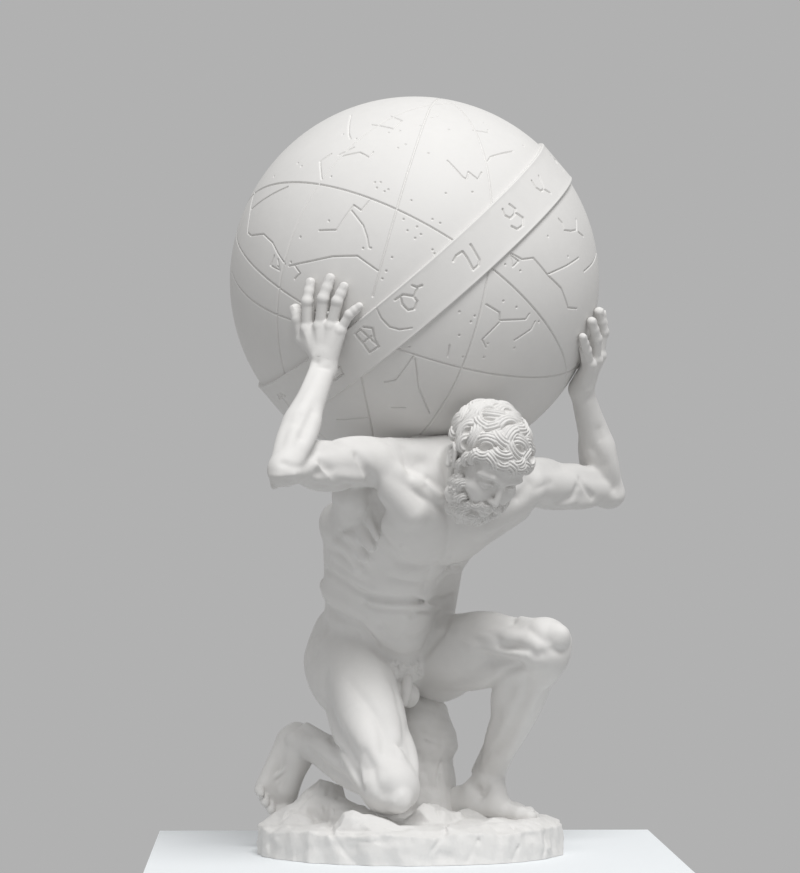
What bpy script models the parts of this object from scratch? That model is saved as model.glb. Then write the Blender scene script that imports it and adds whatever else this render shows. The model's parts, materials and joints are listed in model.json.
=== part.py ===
"""Atlas statue: a kneeling nude man on a chipped rock base who carries a sky globe with a raised zodiac belt."""

import math

import bmesh
import bpy
import numpy as np
from mathutils import Matrix, Vector

# Driving sizes, in metres
STANDING_HEIGHT = 0.776
GLOBE_RADIUS = 0.180
BELT_WIDTH = 0.044
BELT_RISE = 0.0024
SEAT_GAP = 0.0004
BASE_RADIUS = 0.149
BASE_HEIGHT = 0.029

# The figure is worked in units of 1/776 of its standing height, which are millimetres at the modelled size
UNIT = STANDING_HEIGHT / 776
ROUGH_VOXEL = 5.0
FINE_VOXEL = 2.8
FIGURE_TRIANGLES = 7400
GLOBE_STEPS = 60
GLOBE_ROWS = 9
SETTLE_STEP = 6.0
FAR = 60.0

globe_radius = GLOBE_RADIUS / UNIT
belt_half = BELT_WIDTH / UNIT / 2
belt_rise = BELT_RISE / UNIT
seat_gap = SEAT_GAP / UNIT
base_radius = BASE_RADIUS / UNIT
base_height = BASE_HEIGHT / UNIT

WHITE = (0.74, 0.73, 0.71, 1.0)
ROUGHNESS = 0.62


# Vectors
def point(*values):
    return np.array(values, float)


def unit(vector):
    vector = np.asarray(vector, float)
    return vector / np.linalg.norm(vector)


def square(axis, side):
    """Three square directions: along the axis, as near to side as they can be, and across both."""
    axis = unit(axis)
    side = np.asarray(side, float)
    side = unit(side - axis * (side @ axis))
    return np.array([axis, side, np.cross(axis, side)])


# Masses that the figure is modelled from
class Cone:
    """A bar with round ends of two radii. A squash below 1 flattens it along flat."""

    def __init__(self, a, b, ra, rb, flat=None, squash=1.0):
        self.a, self.b = np.asarray(a, float), np.asarray(b, float)
        self.ra, self.rb = ra, rb
        self.axis = self.b - self.a
        self.long = max(float(self.axis @ self.axis), 1e-9)
        self.centre = (self.a + self.b) / 2
        self.flat = None if flat is None else unit(flat)
        self.squash = squash
        self.reach = math.sqrt(self.long) / 2 + max(ra, rb)

    def distance(self, p):
        v = p - self.a
        t = np.clip(v @ self.axis / self.long, 0, 1)
        w = v - t[:, None] * self.axis
        if self.flat is not None:
            w = w + np.outer((w @ self.flat) * (1 / self.squash - 1), self.flat)
        return np.sqrt((w * w).sum(1)) - (self.ra + (self.rb - self.ra) * t)

    def solid(self, bm):
        for i in range(7):
            t = i / 6
            place = Matrix.Translation(Vector(self.a + t * self.axis))
            radius = self.ra + (self.rb - self.ra) * t
            bmesh.ops.create_icosphere(bm, subdivisions=2, radius=radius, matrix=place)


class Egg:
    """An ellipsoid: the rows of axes are its directions."""

    def __init__(self, centre, axes, radii):
        self.centre = np.asarray(centre, float)
        self.axes = np.asarray(axes, float)
        self.radii = np.asarray(radii, float)
        self.reach = float(max(radii))

    def distance(self, p):
        u = ((p - self.centre) @ self.axes.T) / self.radii
        far = np.sqrt((u * u).sum(1))
        u = u / self.radii
        return far * (far - 1) / (np.sqrt((u * u).sum(1)) + 1e-9)

    def solid(self, bm):
        rows = [[*(self.axes.T[i] * self.radii), self.centre[i]] for i in range(3)]
        bmesh.ops.create_icosphere(bm, subdivisions=2, radius=1.0, matrix=Matrix(rows + [[0, 0, 0, 1]]))


def muscle(a, b, width, thick, facing):
    """A belly from a to b whose thickness points along facing."""
    a, b = np.asarray(a, float), np.asarray(b, float)
    return Egg((a + b) / 2, square(b - a, facing), (np.linalg.norm(b - a) / 2, thick, width))


class Rock:
    """A chipped round block: what lies behind all of its planes."""

    def __init__(self, planes, centre, radius, depth):
        self.normals = np.array([unit(normal) for normal, _ in planes])
        self.offsets = np.array([offset for _, offset in planes], float)
        self.centre = np.asarray(centre, float)
        self.radius, self.depth = radius, depth
        self.reach = math.hypot(radius, depth / 2) + 3

    def distance(self, p):
        return (p @ self.normals.T - self.offsets).max(1)

    def solid(self, bm):
        bmesh.ops.create_cone(bm, cap_ends=True, segments=48, radius1=self.radius, radius2=self.radius,
                              depth=self.depth, matrix=Matrix.Translation(Vector(self.centre)))


class Form:
    """Masses joined with soft seams, in order. Some are cuts."""

    def __init__(self):
        self.steps = []

    def add(self, mass, seam=6.0):
        self.steps.append((mass, seam, False))

    def cut(self, mass, seam=2.0):
        self.steps.append((mass, seam, True))

    def close(self):
        """Works out the sphere that holds the form."""
        added = [mass for mass, _, is_cut in self.steps if not is_cut]
        low = np.min([mass.centre - mass.reach for mass in added], 0)
        high = np.max([mass.centre + mass.reach for mass in added], 0)
        self.centre = (low + high) / 2
        self.reach = max(np.linalg.norm(mass.centre - self.centre) + mass.reach for mass in added)
        return self

    def distance(self, p):
        d = np.full(len(p), FAR)
        for mass, seam, is_cut in self.steps:
            away = p - mass.centre
            near = np.flatnonzero((away * away).sum(1) < (mass.reach + seam + 9.0) ** 2)
            if not len(near):
                continue
            here = d[near]
            other = mass.distance(p[near])
            if is_cut:
                blend = np.maximum(seam - np.abs(here + other), 0)
                d[near] = np.maximum(here, -other) + blend * blend / (4 * seam)
            else:
                blend = np.maximum(seam - np.abs(here - other), 0)
                d[near] = np.minimum(here, other) - blend * blend / (4 * seam)
        return d

    def solid(self, bm):
        for mass, _, is_cut in self.steps:
            if not is_cut:
                mass.solid(bm)


# Where the globe sits, and the skeleton
NAPE_SEAT = point(14, -48, 388)
globe_centre = NAPE_SEAT + globe_radius * unit((-10.2, 68, 166))
BELT_AXIS = unit((-0.645, -0.13, 0.75))


def on_globe(azimuth, height, lift):
    """A point above the globe's surface, azimuth 0 to the front and 90 to the figure's left."""
    a, h = math.radians(azimuth), math.radians(height)
    way = point(math.sin(a) * math.cos(h), -math.cos(a) * math.cos(h), math.sin(h))
    return globe_centre + (globe_radius + lift) * way


HIP_R, KNEE_R, ANKLE_R = point(-60, 31, 192), point(-18, -85, 66), point(-105, 62, 101)
HIP_L, KNEE_L, ANKLE_L = point(8, 66, 188), point(130, -64, 203), point(76, 30, 69)
SHOULDER_R, ELBOW_R, WRIST_R = point(-38.6, -118, 376), point(-116.4, -226, 370.6), on_globe(-27.3, -26, 26)
SHOULDER_L, ELBOW_L, WRIST_L = point(109, -44, 357.6), point(196, 60, 350), on_globe(84.7, -32.8, 13.3)
HEAD = point(75, -140, 386)


class Limb:
    """A bone from a to b. Its rows are in shares of its length, then outwards and frontwards."""

    def __init__(self, a, b, front, side):
        self.a, self.b = a, b
        self.length = np.linalg.norm(b - a)
        self.along, self.front, across = square(b - a, front)
        self.out = across * side

    def at(self, share, out=0.0, front=0.0):
        return self.a + self.along * self.length * share + self.out * out + self.front * front

    def cone(self, start, start_radius, end, end_radius):
        return Cone(self.at(*start), self.at(*end), start_radius, end_radius)

    def belly(self, start, end, width, thick):
        facing = self.out * (start[1] + end[1]) + self.front * (start[2] + end[2])
        return muscle(self.at(*start), self.at(*end), width, thick, facing)

    def knob(self, share, out, front, radii):
        return Egg(self.at(share, out, front), square(self.along, self.out), radii)


class Block:
    """A body block with its own left, front and up."""

    def __init__(self, origin, left, up):
        self.origin = origin
        self.left, self.up, back = square(left, up)
        self.front = back

    def at(self, left, front, up):
        return self.origin + self.left * left + self.front * front + self.up * up

    def egg(self, left, front, up, radii, turn=0.0, roll=0.0):
        rows = np.array([self.left, self.front, self.up])
        if turn:
            c, s = math.cos(turn), math.sin(turn)
            rows = np.array([c * rows[0] - s * rows[2], rows[1], c * rows[2] + s * rows[0]])
        if roll:
            c, s = math.cos(roll), math.sin(roll)
            rows = np.array([c * rows[0] + s * rows[1], c * rows[1] - s * rows[0], rows[2]])
        return Egg(self.at(left, front, up), rows, radii)

    def bar(self, start, end, start_radius, end_radius):
        return Cone(self.at(*start), self.at(*end), start_radius, end_radius)


def limbs():
    bones = {}
    for name, side, a, b, c in (("leg_r", 1, HIP_R, KNEE_R, ANKLE_R), ("leg_l", -1, HIP_L, KNEE_L, ANKLE_L)):
        bones[name] = (Limb(a, b, b - c, side), Limb(b, c, b - a, side))
    for name, side, a, b, c in (("arm_r", 1, SHOULDER_R, ELBOW_R, WRIST_R), ("arm_l", -1, SHOULDER_L, ELBOW_L, WRIST_L)):
        bones[name] = (Limb(a, b, c - b, side), Limb(b, c, a - b, side))
    return bones


CHEST = Block((SHOULDER_R + SHOULDER_L) / 2, (0.80, 0.585, -0.12), (0.285, -0.62, 0.73))
PELVIS = Block((HIP_R + HIP_L) / 2, HIP_L - HIP_R, (0.02, -0.30, 0.95))
SKULL = Block(HEAD, (0.829, 0.488, -0.079), (0.36, -0.42, 0.80))


# The figure's parts
def leg(thigh, shank):
    form = Form()
    form.add(thigh.cone((0, 0, 0), 39, (0.55, 2, 4), 31), 10)
    form.add(thigh.cone((0.5, 2, 4), 31, (0.96, 0, 0), 23), 10)
    form.add(thigh.belly((0.02, 4, 22), (0.90, 0, 17), 17, 15), 7)
    form.add(thigh.belly((0.08, 23, 8), (0.97, 17, 8), 20, 17), 7)
    form.add(thigh.belly((0.42, -15, 12), (1.0, -17, 8), 14, 14), 7)
    form.add(thigh.belly((-0.05, -18, 0), (0.62, -12, -10), 22, 22), 10)
    form.add(thigh.belly((-0.24, 4, -22), (0.36, 6, -22), 32, 27), 12)
    form.add(thigh.belly((0.0, 12, -20), (1.0, 14, -13), 15, 18), 7)
    form.add(thigh.belly((0.0, -8, -24), (1.02, -15, -12), 16, 19), 7)
    form.add(Cone(thigh.at(0.985, 0, 2), shank.at(0.04, 0, 2), 24, 23), 8)
    cap = unit(thigh.front + shank.front)
    form.add(Egg(thigh.b + cap * 18, square(cap, thigh.out), (10, 14, 15)), 6)
    form.add(shank.knob(0.10, 0, 14, (14, 11, 10)), 8)
    form.add(shank.cone((0.02, 0, -2), 22, (0.45, 0, -4), 18), 8)
    form.add(shank.cone((0.45, 0, -4), 18, (0.97, 0, 0), 13), 8)
    form.add(shank.belly((0.04, -10, -16), (0.62, -8, -13), 15, 15), 6)
    form.add(shank.belly((0.04, 10, -16), (0.57, 8, -13), 14, 14), 6)
    form.add(shank.belly((0.25, 0, -12), (0.86, 0, -11), 17, 9), 8)
    form.add(shank.belly((0.10, 9, 10), (0.80, 4, 7), 9, 9), 6)
    form.add(shank.cone((0.08, -5, 11), 9, (0.75, -2, 8), 6), 6)
    form.add(shank.belly((0.12, 16, -2), (0.85, 12, -4), 8, 7), 6)
    form.add(shank.cone((0.62, 0, -12), 7, (1.02, 0, -15), 5.5), 6)
    form.add(shank.knob(0.99, -12.5, 2, (8, 6, 7)), 4)
    form.add(shank.knob(1.01, 12.5, -2, (8, 6, 7)), 4)
    return form.close()


def arm(upper, fore):
    form = Form()
    form.add(upper.cone((0, 0, 0), 23, (0.95, 0, 0), 16), 8)
    form.add(upper.belly((-0.22, 6, 3), (0.60, 13, 2), 19, 20), 8)
    form.add(upper.belly((-0.2, -3, 10), (0.5, 4, 12), 14, 14), 8)
    form.add(upper.belly((0.22, 0, 11), (0.98, 0, 10), 13, 12), 5)
    form.add(upper.belly((0.10, 2, -13), (0.85, 2, -9), 15, 13), 6)
    form.add(upper.cone((0.93, 0, 0), 16, (1.02, 0, -3), 13), 6)
    form.add(upper.knob(1.04, 0, -6, (9, 9, 8)), 5)
    form.add(fore.cone((0, 0, 2), 16, (0.42, 0, 0), 17), 7)
    form.add(fore.cone((0.42, 0, 0), 17, (0.98, 0, 0), 11.5), 7)
    form.add(fore.belly((-0.12, 10, 5), (0.66, 6, 2), 12, 13), 6)
    form.add(fore.belly((0.02, -8, 3), (0.70, -6, 1), 12, 12), 6)
    form.add(fore.belly((0.05, 3, -8), (0.72, 3, -5), 12, 10), 6)
    return form.close()


def torso():
    form = Form()
    form.add(CHEST.egg(0, -2, -62, (64, 47, 78)), 10)
    form.add(CHEST.egg(0, -8, -20, (62, 34, 40)), 14)
    for side, shoulder in ((1, SHOULDER_L), (-1, SHOULDER_R)):
        form.add(CHEST.egg(32 * side, 32, -36, (36, 18, 28), turn=-0.35 * side, roll=-0.25 * side), 6)
        form.add(Cone(CHEST.at(40 * side, 30, -26), shoulder + CHEST.front * 8, 16, 17), 12)
        form.add(CHEST.egg(44 * side, -32, -44, (28, 16, 38)), 12)
        form.add(Cone(CHEST.at(0, -14, 8), shoulder - CHEST.front * 6, 17, 16), 14)
        form.add(CHEST.bar((12 * side, -32, -4), (14 * side, -28, -150), 17, 17), 12)
        for row in range(4):
            drop = 15 * row
            form.add(CHEST.bar((65 * side, 4, -56 - drop), ((55 - 2 * row) * side, 28 - 3 * row, -68 - drop), 6.5, 4), 5)
    # The right back edge spreads wide under the raised arm
    form.add(Cone(SHOULDER_R + point(24, 27, -24), CHEST.at(-59, -21, -96), 18, 19), 16)
    form.add(Cone(CHEST.at(-59, -21, -96), PELVIS.at(-50, -6, 34), 19, 15), 16)
    form.add(Cone(SHOULDER_L + point(-12, 10, -20), CHEST.at(62, -10, -100), 20, 20), 14)
    form.add(Cone(CHEST.at(62, -10, -100), PELVIS.at(52, 4, 32), 20, 14), 14)
    # Waist and belly
    form.add(Cone(CHEST.at(-2, -6, -118), PELVIS.at(0, -4, 16), 50, 54, PELVIS.front, 0.8), 16)
    form.add(Cone(CHEST.at(0, 16, -112), PELVIS.at(2, 20, 10), 32, 32), 14)
    # Pelvis and seat
    form.add(PELVIS.egg(0, -6, 4, (66, 44, 44)), 14)
    for side in (-1, 1):
        form.add(PELVIS.egg(49 * side, 2, 34, (20, 28, 15)), 8)
    form.add(PELVIS.egg(-34, -26, 4, (32, 30, 38)), 14)
    form.add(PELVIS.egg(34, -26, -2, (34, 30, 40)), 14)
    form.add(PELVIS.egg(0, 30, -8, (24, 18, 24)), 12)
    form.add(PELVIS.egg(2, 46, -14, (15, 9, 11)), 6)
    form.add(PELVIS.egg(6, 50, -30, (8, 8, 10)), 4)
    form.add(PELVIS.egg(-6, 49, -28, (7.5, 7.5, 9.5)), 4)
    form.add(PELVIS.bar((2, 53, -20), (3, 58, -35), 5.0, 4.0), 3)
    return form.close()


def head():
    form = Form()
    form.add(Cone(CHEST.at(4, 2, 0), SKULL.at(0, -16, -26), 25, 24), 12)
    form.add(Cone(CHEST.at(10, 16, 0), SKULL.at(0, -2, -40), 19, 21), 10)
    form.add(SKULL.egg(0, -4, 2, (33, 41, 36)), 6)
    form.add(SKULL.egg(0, 20, -22, (26, 22, 34)), 8)
    form.add(SKULL.egg(0, 26, -44, (17, 14, 13)), 8)
    form.add(SKULL.egg(0, 35, -1, (24, 8, 6)), 5)
    for side in (-1, 1):
        form.cut(SKULL.egg(12.5 * side, 44, -9.5, (9.5, 8, 6)), 6)
        form.add(SKULL.egg(12.5 * side, 33, -9.5, (6.8, 6.4, 5.6)), 2.5)
        form.add(SKULL.egg(19 * side, 28, -20, (9, 9, 8)), 6)
        form.add(SKULL.egg(34 * side, -2, -13, (4, 7, 11)), 3)
    form.add(SKULL.bar((0, 40, -7), (0, 49, -25), 3.6, 5.0), 4)
    for side in (-1, 1):
        form.add(SKULL.egg(4.5 * side, 44.5, -26, (3.6, 4.2, 3.6)), 2.5)
        form.add(SKULL.bar((31 * side, 2, -20), (24 * side, 16, -46), 7, 11), 6)
        form.add(SKULL.bar((2 * side, 45, -34), (15 * side, 36, -41), 4.5, 4), 3)
    form.add(SKULL.egg(0, 28, -52, (26, 20, 20)), 8)
    form.add(SKULL.egg(0, 43, -42, (8, 4.5, 2.6)), 2)
    hair(form)
    return form.close()


HAIR_CURLS = 90
BEARD_CURLS = 24
GOLDEN_TURN = 2.399963
GOLDEN_SHARE = 0.618034


def hair(form):
    """Thick short curls over the crown and a full short beard, laid in even spirals."""
    for i in range(HAIR_CURLS):
        height = 1 - 2 * (i + 0.5) / HAIR_CURLS
        ring = math.sqrt(1 - height * height)
        left, front = math.cos(i * GOLDEN_TURN) * ring, math.sin(i * GOLDEN_TURN) * ring
        on_face = front > 0.55 and height < 0.42 or front > 0.15 and height < -0.1
        if height < -0.62 or on_face:
            continue
        form.add(SKULL.egg(33 * left, 40 * front - 4, 34.5 * height + 3, (7, 7, 7)), 3)
    for i in range(BEARD_CURLS):
        turn = -1.45 + 2.9 * (i * GOLDEN_SHARE % 1.0)
        drop = 34 + 30 * (i + 0.5) / BEARD_CURLS
        wide = 27 if drop < 52 else 25 - (drop - 52) * 0.5
        back = 6 if drop < 40 else 0
        if drop < 42 and abs(turn) < 0.75:
            continue
        form.add(SKULL.egg(wide * math.sin(turn), 22 + wide * 0.8 * math.cos(turn) - back, -drop, (6.5, 6.5, 6.5)), 3)


# Finger joints over the globe: azimuth, height and lift
RIGHT_HAND = {
    "index": ((-33.1, -15.8, 12), (-32.3, -8.3, 11), (-32.0, -2.9, 5)),
    "middle": ((-28.6, -15.3, 12), (-27.0, -7.6, 11), (-25.4, -1.9, 5)),
    "ring": ((-25.1, -15.4, 11.5), (-22.8, -8.5, 10), (-21.1, -4.4, 5)),
    "little": ((-22.4, -16.6, 11), (-19.5, -12.4, 8), (-16.6, -10.2, 5)),
    "thumb": ((-35.6, -19.0, 11), (-36.8, -13.5, 8), (-38.0, -10.6, 5.5)),
}
LEFT_HAND = {
    "index": ((88.7, -21.6, 12), (88.1, -15.2, 11), (86.2, -10.0, 5)),
    "middle": ((84.0, -21.8, 14), (81.9, -15.2, 11), (77.6, -9.8, 5)),
    "ring": ((79.7, -23.3, 14), (75.3, -17.6, 10.5), (70.6, -13.0, 5)),
    "little": ((76.1, -25.0, 12), (71.2, -21.6, 8), (66.5, -18.0, 4.6)),
    "thumb": ((94.5, -26.5, 9), (98.0, -22.5, 6.5), (100.0, -19.5, 5)),
}
FINGER_PAD = 4.5
FINGER_RADII = {"index": 5.7, "middle": 5.9, "ring": 5.6, "little": 5.0, "thumb": 6.6}


def hand(wrist, fingers):
    form = Form()
    joints = {name: [on_globe(*row) for row in rows] for name, rows in fingers.items()}
    for name in ("index", "middle", "ring", "little"):
        form.add(Cone(wrist, joints[name][0], 10.0, FINGER_RADII[name] + 1.8), 7)
    palm = (joints["index"][0] + joints["little"][0]) / 2
    form.add(Cone(wrist + (palm - wrist) * 0.35, joints["thumb"][0], 10, 7.5), 6)
    for name, row in joints.items():
        radius = FINGER_RADII[name]
        inwards = unit(globe_centre - row[1]) * FINGER_PAD
        form.add(Cone(row[0] + inwards, row[1] + inwards, radius - 0.8, radius - 1.2), 3)
        form.add(Cone(row[0], row[1], radius, radius - 0.2), 2.5)
        form.add(Cone(row[1], row[2], radius, radius - 0.5), 2)
    return form.close()


# Toe joints: along the foot, towards the big toe, up, and the radius at the end
TOES = (
    ((84, 13, 10), (100, 14, 9), (110, 13, 8), 8.3),
    ((87, 3, 10), (101, 4, 11), (110, 5, 7), 5.6),
    ((84, -4, 9), (97, -4, 10.5), (105, -3, 6.5), 5.4),
    ((80, -11, 8), (91, -12, 9.5), (99, -11, 6), 5.2),
    ((74, -18, 7.5), (84, -20, 8.5), (91, -19, 5.5), 5.0),
)


def foot(ankle, heel, along, up, inner, toes_along=None):
    """A foot from the ground under its heel. Tucked toes turn to toes_along."""
    form = Form()
    along, up, _ = square(along, up)
    inwards = np.cross(along, up) * inner
    axes = np.array([along, inwards, up])

    def at(forward, inward, high):
        return heel + along * forward + inwards * inward + up * high

    form.add(Egg(at(17, 0, 15), axes, (18, 14, 16)), 7)
    form.add(Cone(ankle, at(34, 1, 24), 14, 15), 8)
    form.add(Cone(ankle + along * 2, at(68, 6, 17), 13.5, 11), 9)
    form.add(Cone(at(20, 3, 13), at(80, 12, 11), 12, 10.5), 8)
    form.add(Cone(at(20, -6, 10), at(70, -17, 8), 10, 7.5), 8)
    form.add(Egg(at(74, -1, 11), axes, (16, 22, 9)), 6)
    for root, knuckle, tip, radius in TOES:
        row = [at(*root), at(*knuckle), at(*tip)]
        if toes_along is not None:
            start = at(root[0], root[1], root[2] * 0.6)
            row = [start]
            for joint in (knuckle, tip):
                ahead = joint[0] - root[0]
                dip = along * (4 - (joint[2] - 8) * 0.4) * ahead / 26
                row.append(start + toes_along * ahead + inwards * (joint[1] - root[1]) + dip)
        form.add(Cone(row[0], row[1], radius, radius), 4)
        form.add(Cone(row[1], row[2], radius, radius * 0.88), 3)
    return form.close()


# The base reaches this far below the floor before its underside is cut flat
UNDERCUT = 6.0
# The chipped rim: azimuth, share of the base radius and lean of each face
RIM_FACES = (
    (0, 1.0, 0.10), (24, 0.985, 0.16), (47, 0.99, 0.05), (70, 0.985, 0.12), (92, 0.99, 0.08), (116, 0.98, 0.18),
    (140, 0.985, 0.06), (165, 0.98, 0.14), (190, 0.985, 0.08), (214, 0.98, 0.16), (238, 0.99, 0.06),
    (262, 0.985, 0.12), (284, 0.99, 0.08), (308, 0.985, 0.18), (333, 0.995, 0.06),
)
# Chips off the top edge: azimuth, lean from level, share of the radius where the slope meets the rim height
TOP_CHIPS = ((-62, 0.42, 0.90), (-30, 0.30, 0.93), (8, 0.36, 0.94), (38, 0.26, 0.93), (72, 0.34, 0.95),
             (118, 0.30, 0.92), (160, 0.36, 0.94), (205, 0.28, 0.92), (250, 0.40, 0.93))


def around(azimuth):
    a = math.radians(azimuth)
    return point(math.sin(a), -math.cos(a), 0)


def base():
    form = Form()
    planes = []
    for azimuth, share, lean in RIM_FACES:
        normal = around(azimuth) * math.cos(lean) + point(0, 0, math.sin(lean))
        foot_of_face = around(azimuth) * base_radius * share
        planes.append((normal, unit(normal) @ foot_of_face))
    for azimuth, lean, share in TOP_CHIPS:
        normal = around(azimuth) * math.sin(lean) + point(0, 0, math.cos(lean))
        edge = around(azimuth) * base_radius * share + point(0, 0, base_height)
        planes.append((normal, unit(normal) @ edge))
    planes.append(((0.0, 0.0, 1.0), base_height + 3.5))
    planes.append(((0.0, 0.0, -1.0), UNDERCUT))
    form.add(Rock(planes, (0, 0, (base_height - UNDERCUT) / 2), base_radius, base_height + UNDERCUT), 1)
    # Swells under the knee, the tucked foot and the standing foot
    form.add(Egg((-30, -66, 18), np.eye(3), (64, 56, 20)), 8)
    form.add(Egg((-105, 20, 16), np.eye(3), (34, 44, 22)), 6)
    form.add(Egg((75, 28, 14), np.eye(3), (54, 44, 19)), 6)
    # The stump under the left thigh
    form.add(Cone((8, 62, 20), (6, 58, 120), 40, 33), 6)
    form.add(Cone((24, 40, 24), (14, 44, 62), 24, 22), 5)
    form.add(Cone((-14, 84, 24), (-8, 78, 90), 28, 22), 5)
    form.add(Egg((26, 48, 104), np.eye(3), (19, 20, 26)), 4)
    return form.close()


class GlobeSeat:
    """The globe with its belt, grown by the seat gap, which the figure makes room for."""

    def __init__(self):
        self.centre, self.reach = globe_centre, globe_radius + belt_rise + 2

    def distance(self, p):
        away = p - globe_centre
        off_belt = np.abs(away @ BELT_AXIS)
        rise = belt_rise * np.clip(belt_half + 1.5 - off_belt, 0, 1)
        return np.sqrt((away * away).sum(1)) - (globe_radius + rise) - seat_gap


def figure():
    form = Form()
    bones = limbs()
    form.add(torso(), 1)
    for name in ("leg_r", "leg_l"):
        form.add(leg(*bones[name]), 10)
    for name in ("arm_r", "arm_l"):
        form.add(arm(*bones[name]), 10)
    form.add(head(), 6)
    form.add(hand(WRIST_R, RIGHT_HAND), 6)
    form.add(hand(WRIST_L, LEFT_HAND), 6)
    form.add(foot(ANKLE_L, point(36, 52, 31), point(101, -80, -3), point(0, 0, 1), 1), 5)
    sole = unit((-0.646, 0.76, -0.077))
    down = unit((-0.24, -0.30, -0.87))
    form.add(foot(ANKLE_R, ANKLE_R + sole * 31 - down * 22, down, -sole, -1, unit((0.15, -0.8, -0.1))), 5)
    form.add(base(), 4)
    form.cut(GlobeSeat(), 0.4)
    return form


# Meshes
def coordinates(mesh):
    flat = np.empty(len(mesh.vertices) * 3, np.float32)
    mesh.vertices.foreach_get("co", flat)
    return flat.reshape(-1, 3).astype(float)


def settle(mesh, form, rounds):
    """Moves every point along its normal until it lies on the form's surface."""
    for _ in range(rounds):
        normals = np.empty(len(mesh.vertices) * 3, np.float32)
        mesh.vertices.foreach_get("normal", normals)
        normals = normals.reshape(-1, 3).astype(float)
        points = coordinates(mesh)
        gap = form.distance(points)
        slope = (form.distance(points + normals * 0.2) - gap) / 0.2
        slope = np.clip(slope, 0.4, 1.5)
        points -= normals * np.clip(gap / slope, -SETTLE_STEP, SETTLE_STEP)[:, None]
        mesh.vertices.foreach_set("co", points.astype(np.float32).ravel())
        mesh.update()


def apply_modifier(obj, kind, **settings):
    modifier = obj.modifiers.new(kind, kind)
    for name, value in settings.items():
        setattr(modifier, name, value)
    graph = bpy.context.evaluated_depsgraph_get()
    mesh = bpy.data.meshes.new_from_object(obj.evaluated_get(graph))
    obj.modifiers.clear()
    old = obj.data
    obj.data = mesh
    bpy.data.meshes.remove(old)


def model(name, form, rough, fine, triangles):
    """The form as one mesh object, still in figure units."""
    bm = bmesh.new()
    form.solid(bm)
    mesh = bpy.data.meshes.new(name)
    bm.to_mesh(mesh)
    bm.free()
    obj = bpy.data.objects.new(name, mesh)
    bpy.context.scene.collection.objects.link(obj)
    apply_modifier(obj, "REMESH", mode="VOXEL", voxel_size=rough)
    settle(obj.data, form, 4)
    apply_modifier(obj, "REMESH", mode="VOXEL", voxel_size=fine)
    settle(obj.data, form, 3)
    if triangles:
        faces = sum(len(face.vertices) - 2 for face in obj.data.polygons)
        apply_modifier(obj, "DECIMATE", ratio=triangles / faces, use_collapse_triangulate=True)
    return obj


def keep_largest(bm):
    """Removes loose scraps, so that one body is left."""
    left = set(bm.verts)
    bodies = []
    while left:
        seed = left.pop()
        body, front = {seed}, [seed]
        while front:
            for edge in front.pop().link_edges:
                for vert in edge.verts:
                    if vert in left:
                        left.remove(vert)
                        body.add(vert)
                        front.append(vert)
        bodies.append(body)
    bodies.sort(key=len)
    for body in bodies[:-1]:
        bmesh.ops.delete(bm, geom=list(body), context="VERTS")


def level_underside(obj):
    """Cuts the base flat where it rests."""
    bm = bmesh.new()
    bm.from_mesh(obj.data)
    everything = bm.verts[:] + bm.edges[:] + bm.faces[:]
    cut = bmesh.ops.bisect_plane(bm, geom=everything, plane_co=(0, 0, 0), plane_no=(0, 0, 1), clear_inner=True)
    rim = [item for item in cut["geom_cut"] if isinstance(item, bmesh.types.BMEdge)]
    bmesh.ops.holes_fill(bm, edges=rim)
    keep_largest(bm)
    bmesh.ops.triangulate(bm, faces=bm.faces[:])
    bmesh.ops.recalc_face_normals(bm, faces=bm.faces[:])
    bm.to_mesh(obj.data)
    bm.free()


def to_metres(obj):
    obj.data.transform(Matrix.Scale(UNIT, 4))
    obj.data.update()


def celestial_globe():
    """A half circle with the belt's step in it, turned about the belt's axis."""
    half_angle = math.asin(BELT_WIDTH / 2 / GLOBE_RADIUS)
    profile = []
    for row in range(GLOBE_ROWS + 1):
        angle = math.pi / 2 + (half_angle - math.pi / 2) * row / GLOBE_ROWS
        profile.append((GLOBE_RADIUS, angle))
    proud = GLOBE_RADIUS + BELT_RISE
    edge = math.asin((BELT_WIDTH / 2 - BELT_RISE * 0.4) / proud)
    profile += [(proud, edge), (proud, edge / 2), (proud, 0.0)]
    lower = [(radius, -angle) for radius, angle in reversed(profile[:-1])]
    bm = bmesh.new()
    verts = []
    for radius, angle in profile + lower:
        verts.append(bm.verts.new((radius * math.cos(angle), 0, radius * math.sin(angle))))
    edges = [bm.edges.new(pair) for pair in zip(verts, verts[1:])]
    geometry = verts + edges
    bmesh.ops.spin(bm, geom=geometry, cent=(0, 0, 0), axis=(0, 0, 1), angle=2 * math.pi, steps=GLOBE_STEPS,
                   use_merge=True)
    bmesh.ops.remove_doubles(bm, verts=bm.verts[:], dist=GLOBE_RADIUS * 1e-4)
    bmesh.ops.recalc_face_normals(bm, faces=bm.faces[:])
    mesh = bpy.data.meshes.new("celestial_globe")
    bm.to_mesh(mesh)
    bm.free()
    obj = bpy.data.objects.new("celestial_globe", mesh)
    bpy.context.scene.collection.objects.link(obj)
    turn = Vector((0, 0, 1)).rotation_difference(Vector(BELT_AXIS)).to_matrix().to_4x4()
    mesh.transform(Matrix.Translation(Vector(globe_centre * UNIT)) @ turn)
    return obj


def paint(obj, name):
    material = bpy.data.materials.new(name)
    material.use_nodes = True
    surface = material.node_tree.nodes["Principled BSDF"]
    surface.inputs["Base Color"].default_value = WHITE
    surface.inputs["Roughness"].default_value = ROUGHNESS
    surface.inputs["Metallic"].default_value = 0.0
    obj.data.materials.clear()
    obj.data.materials.append(material)


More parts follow.
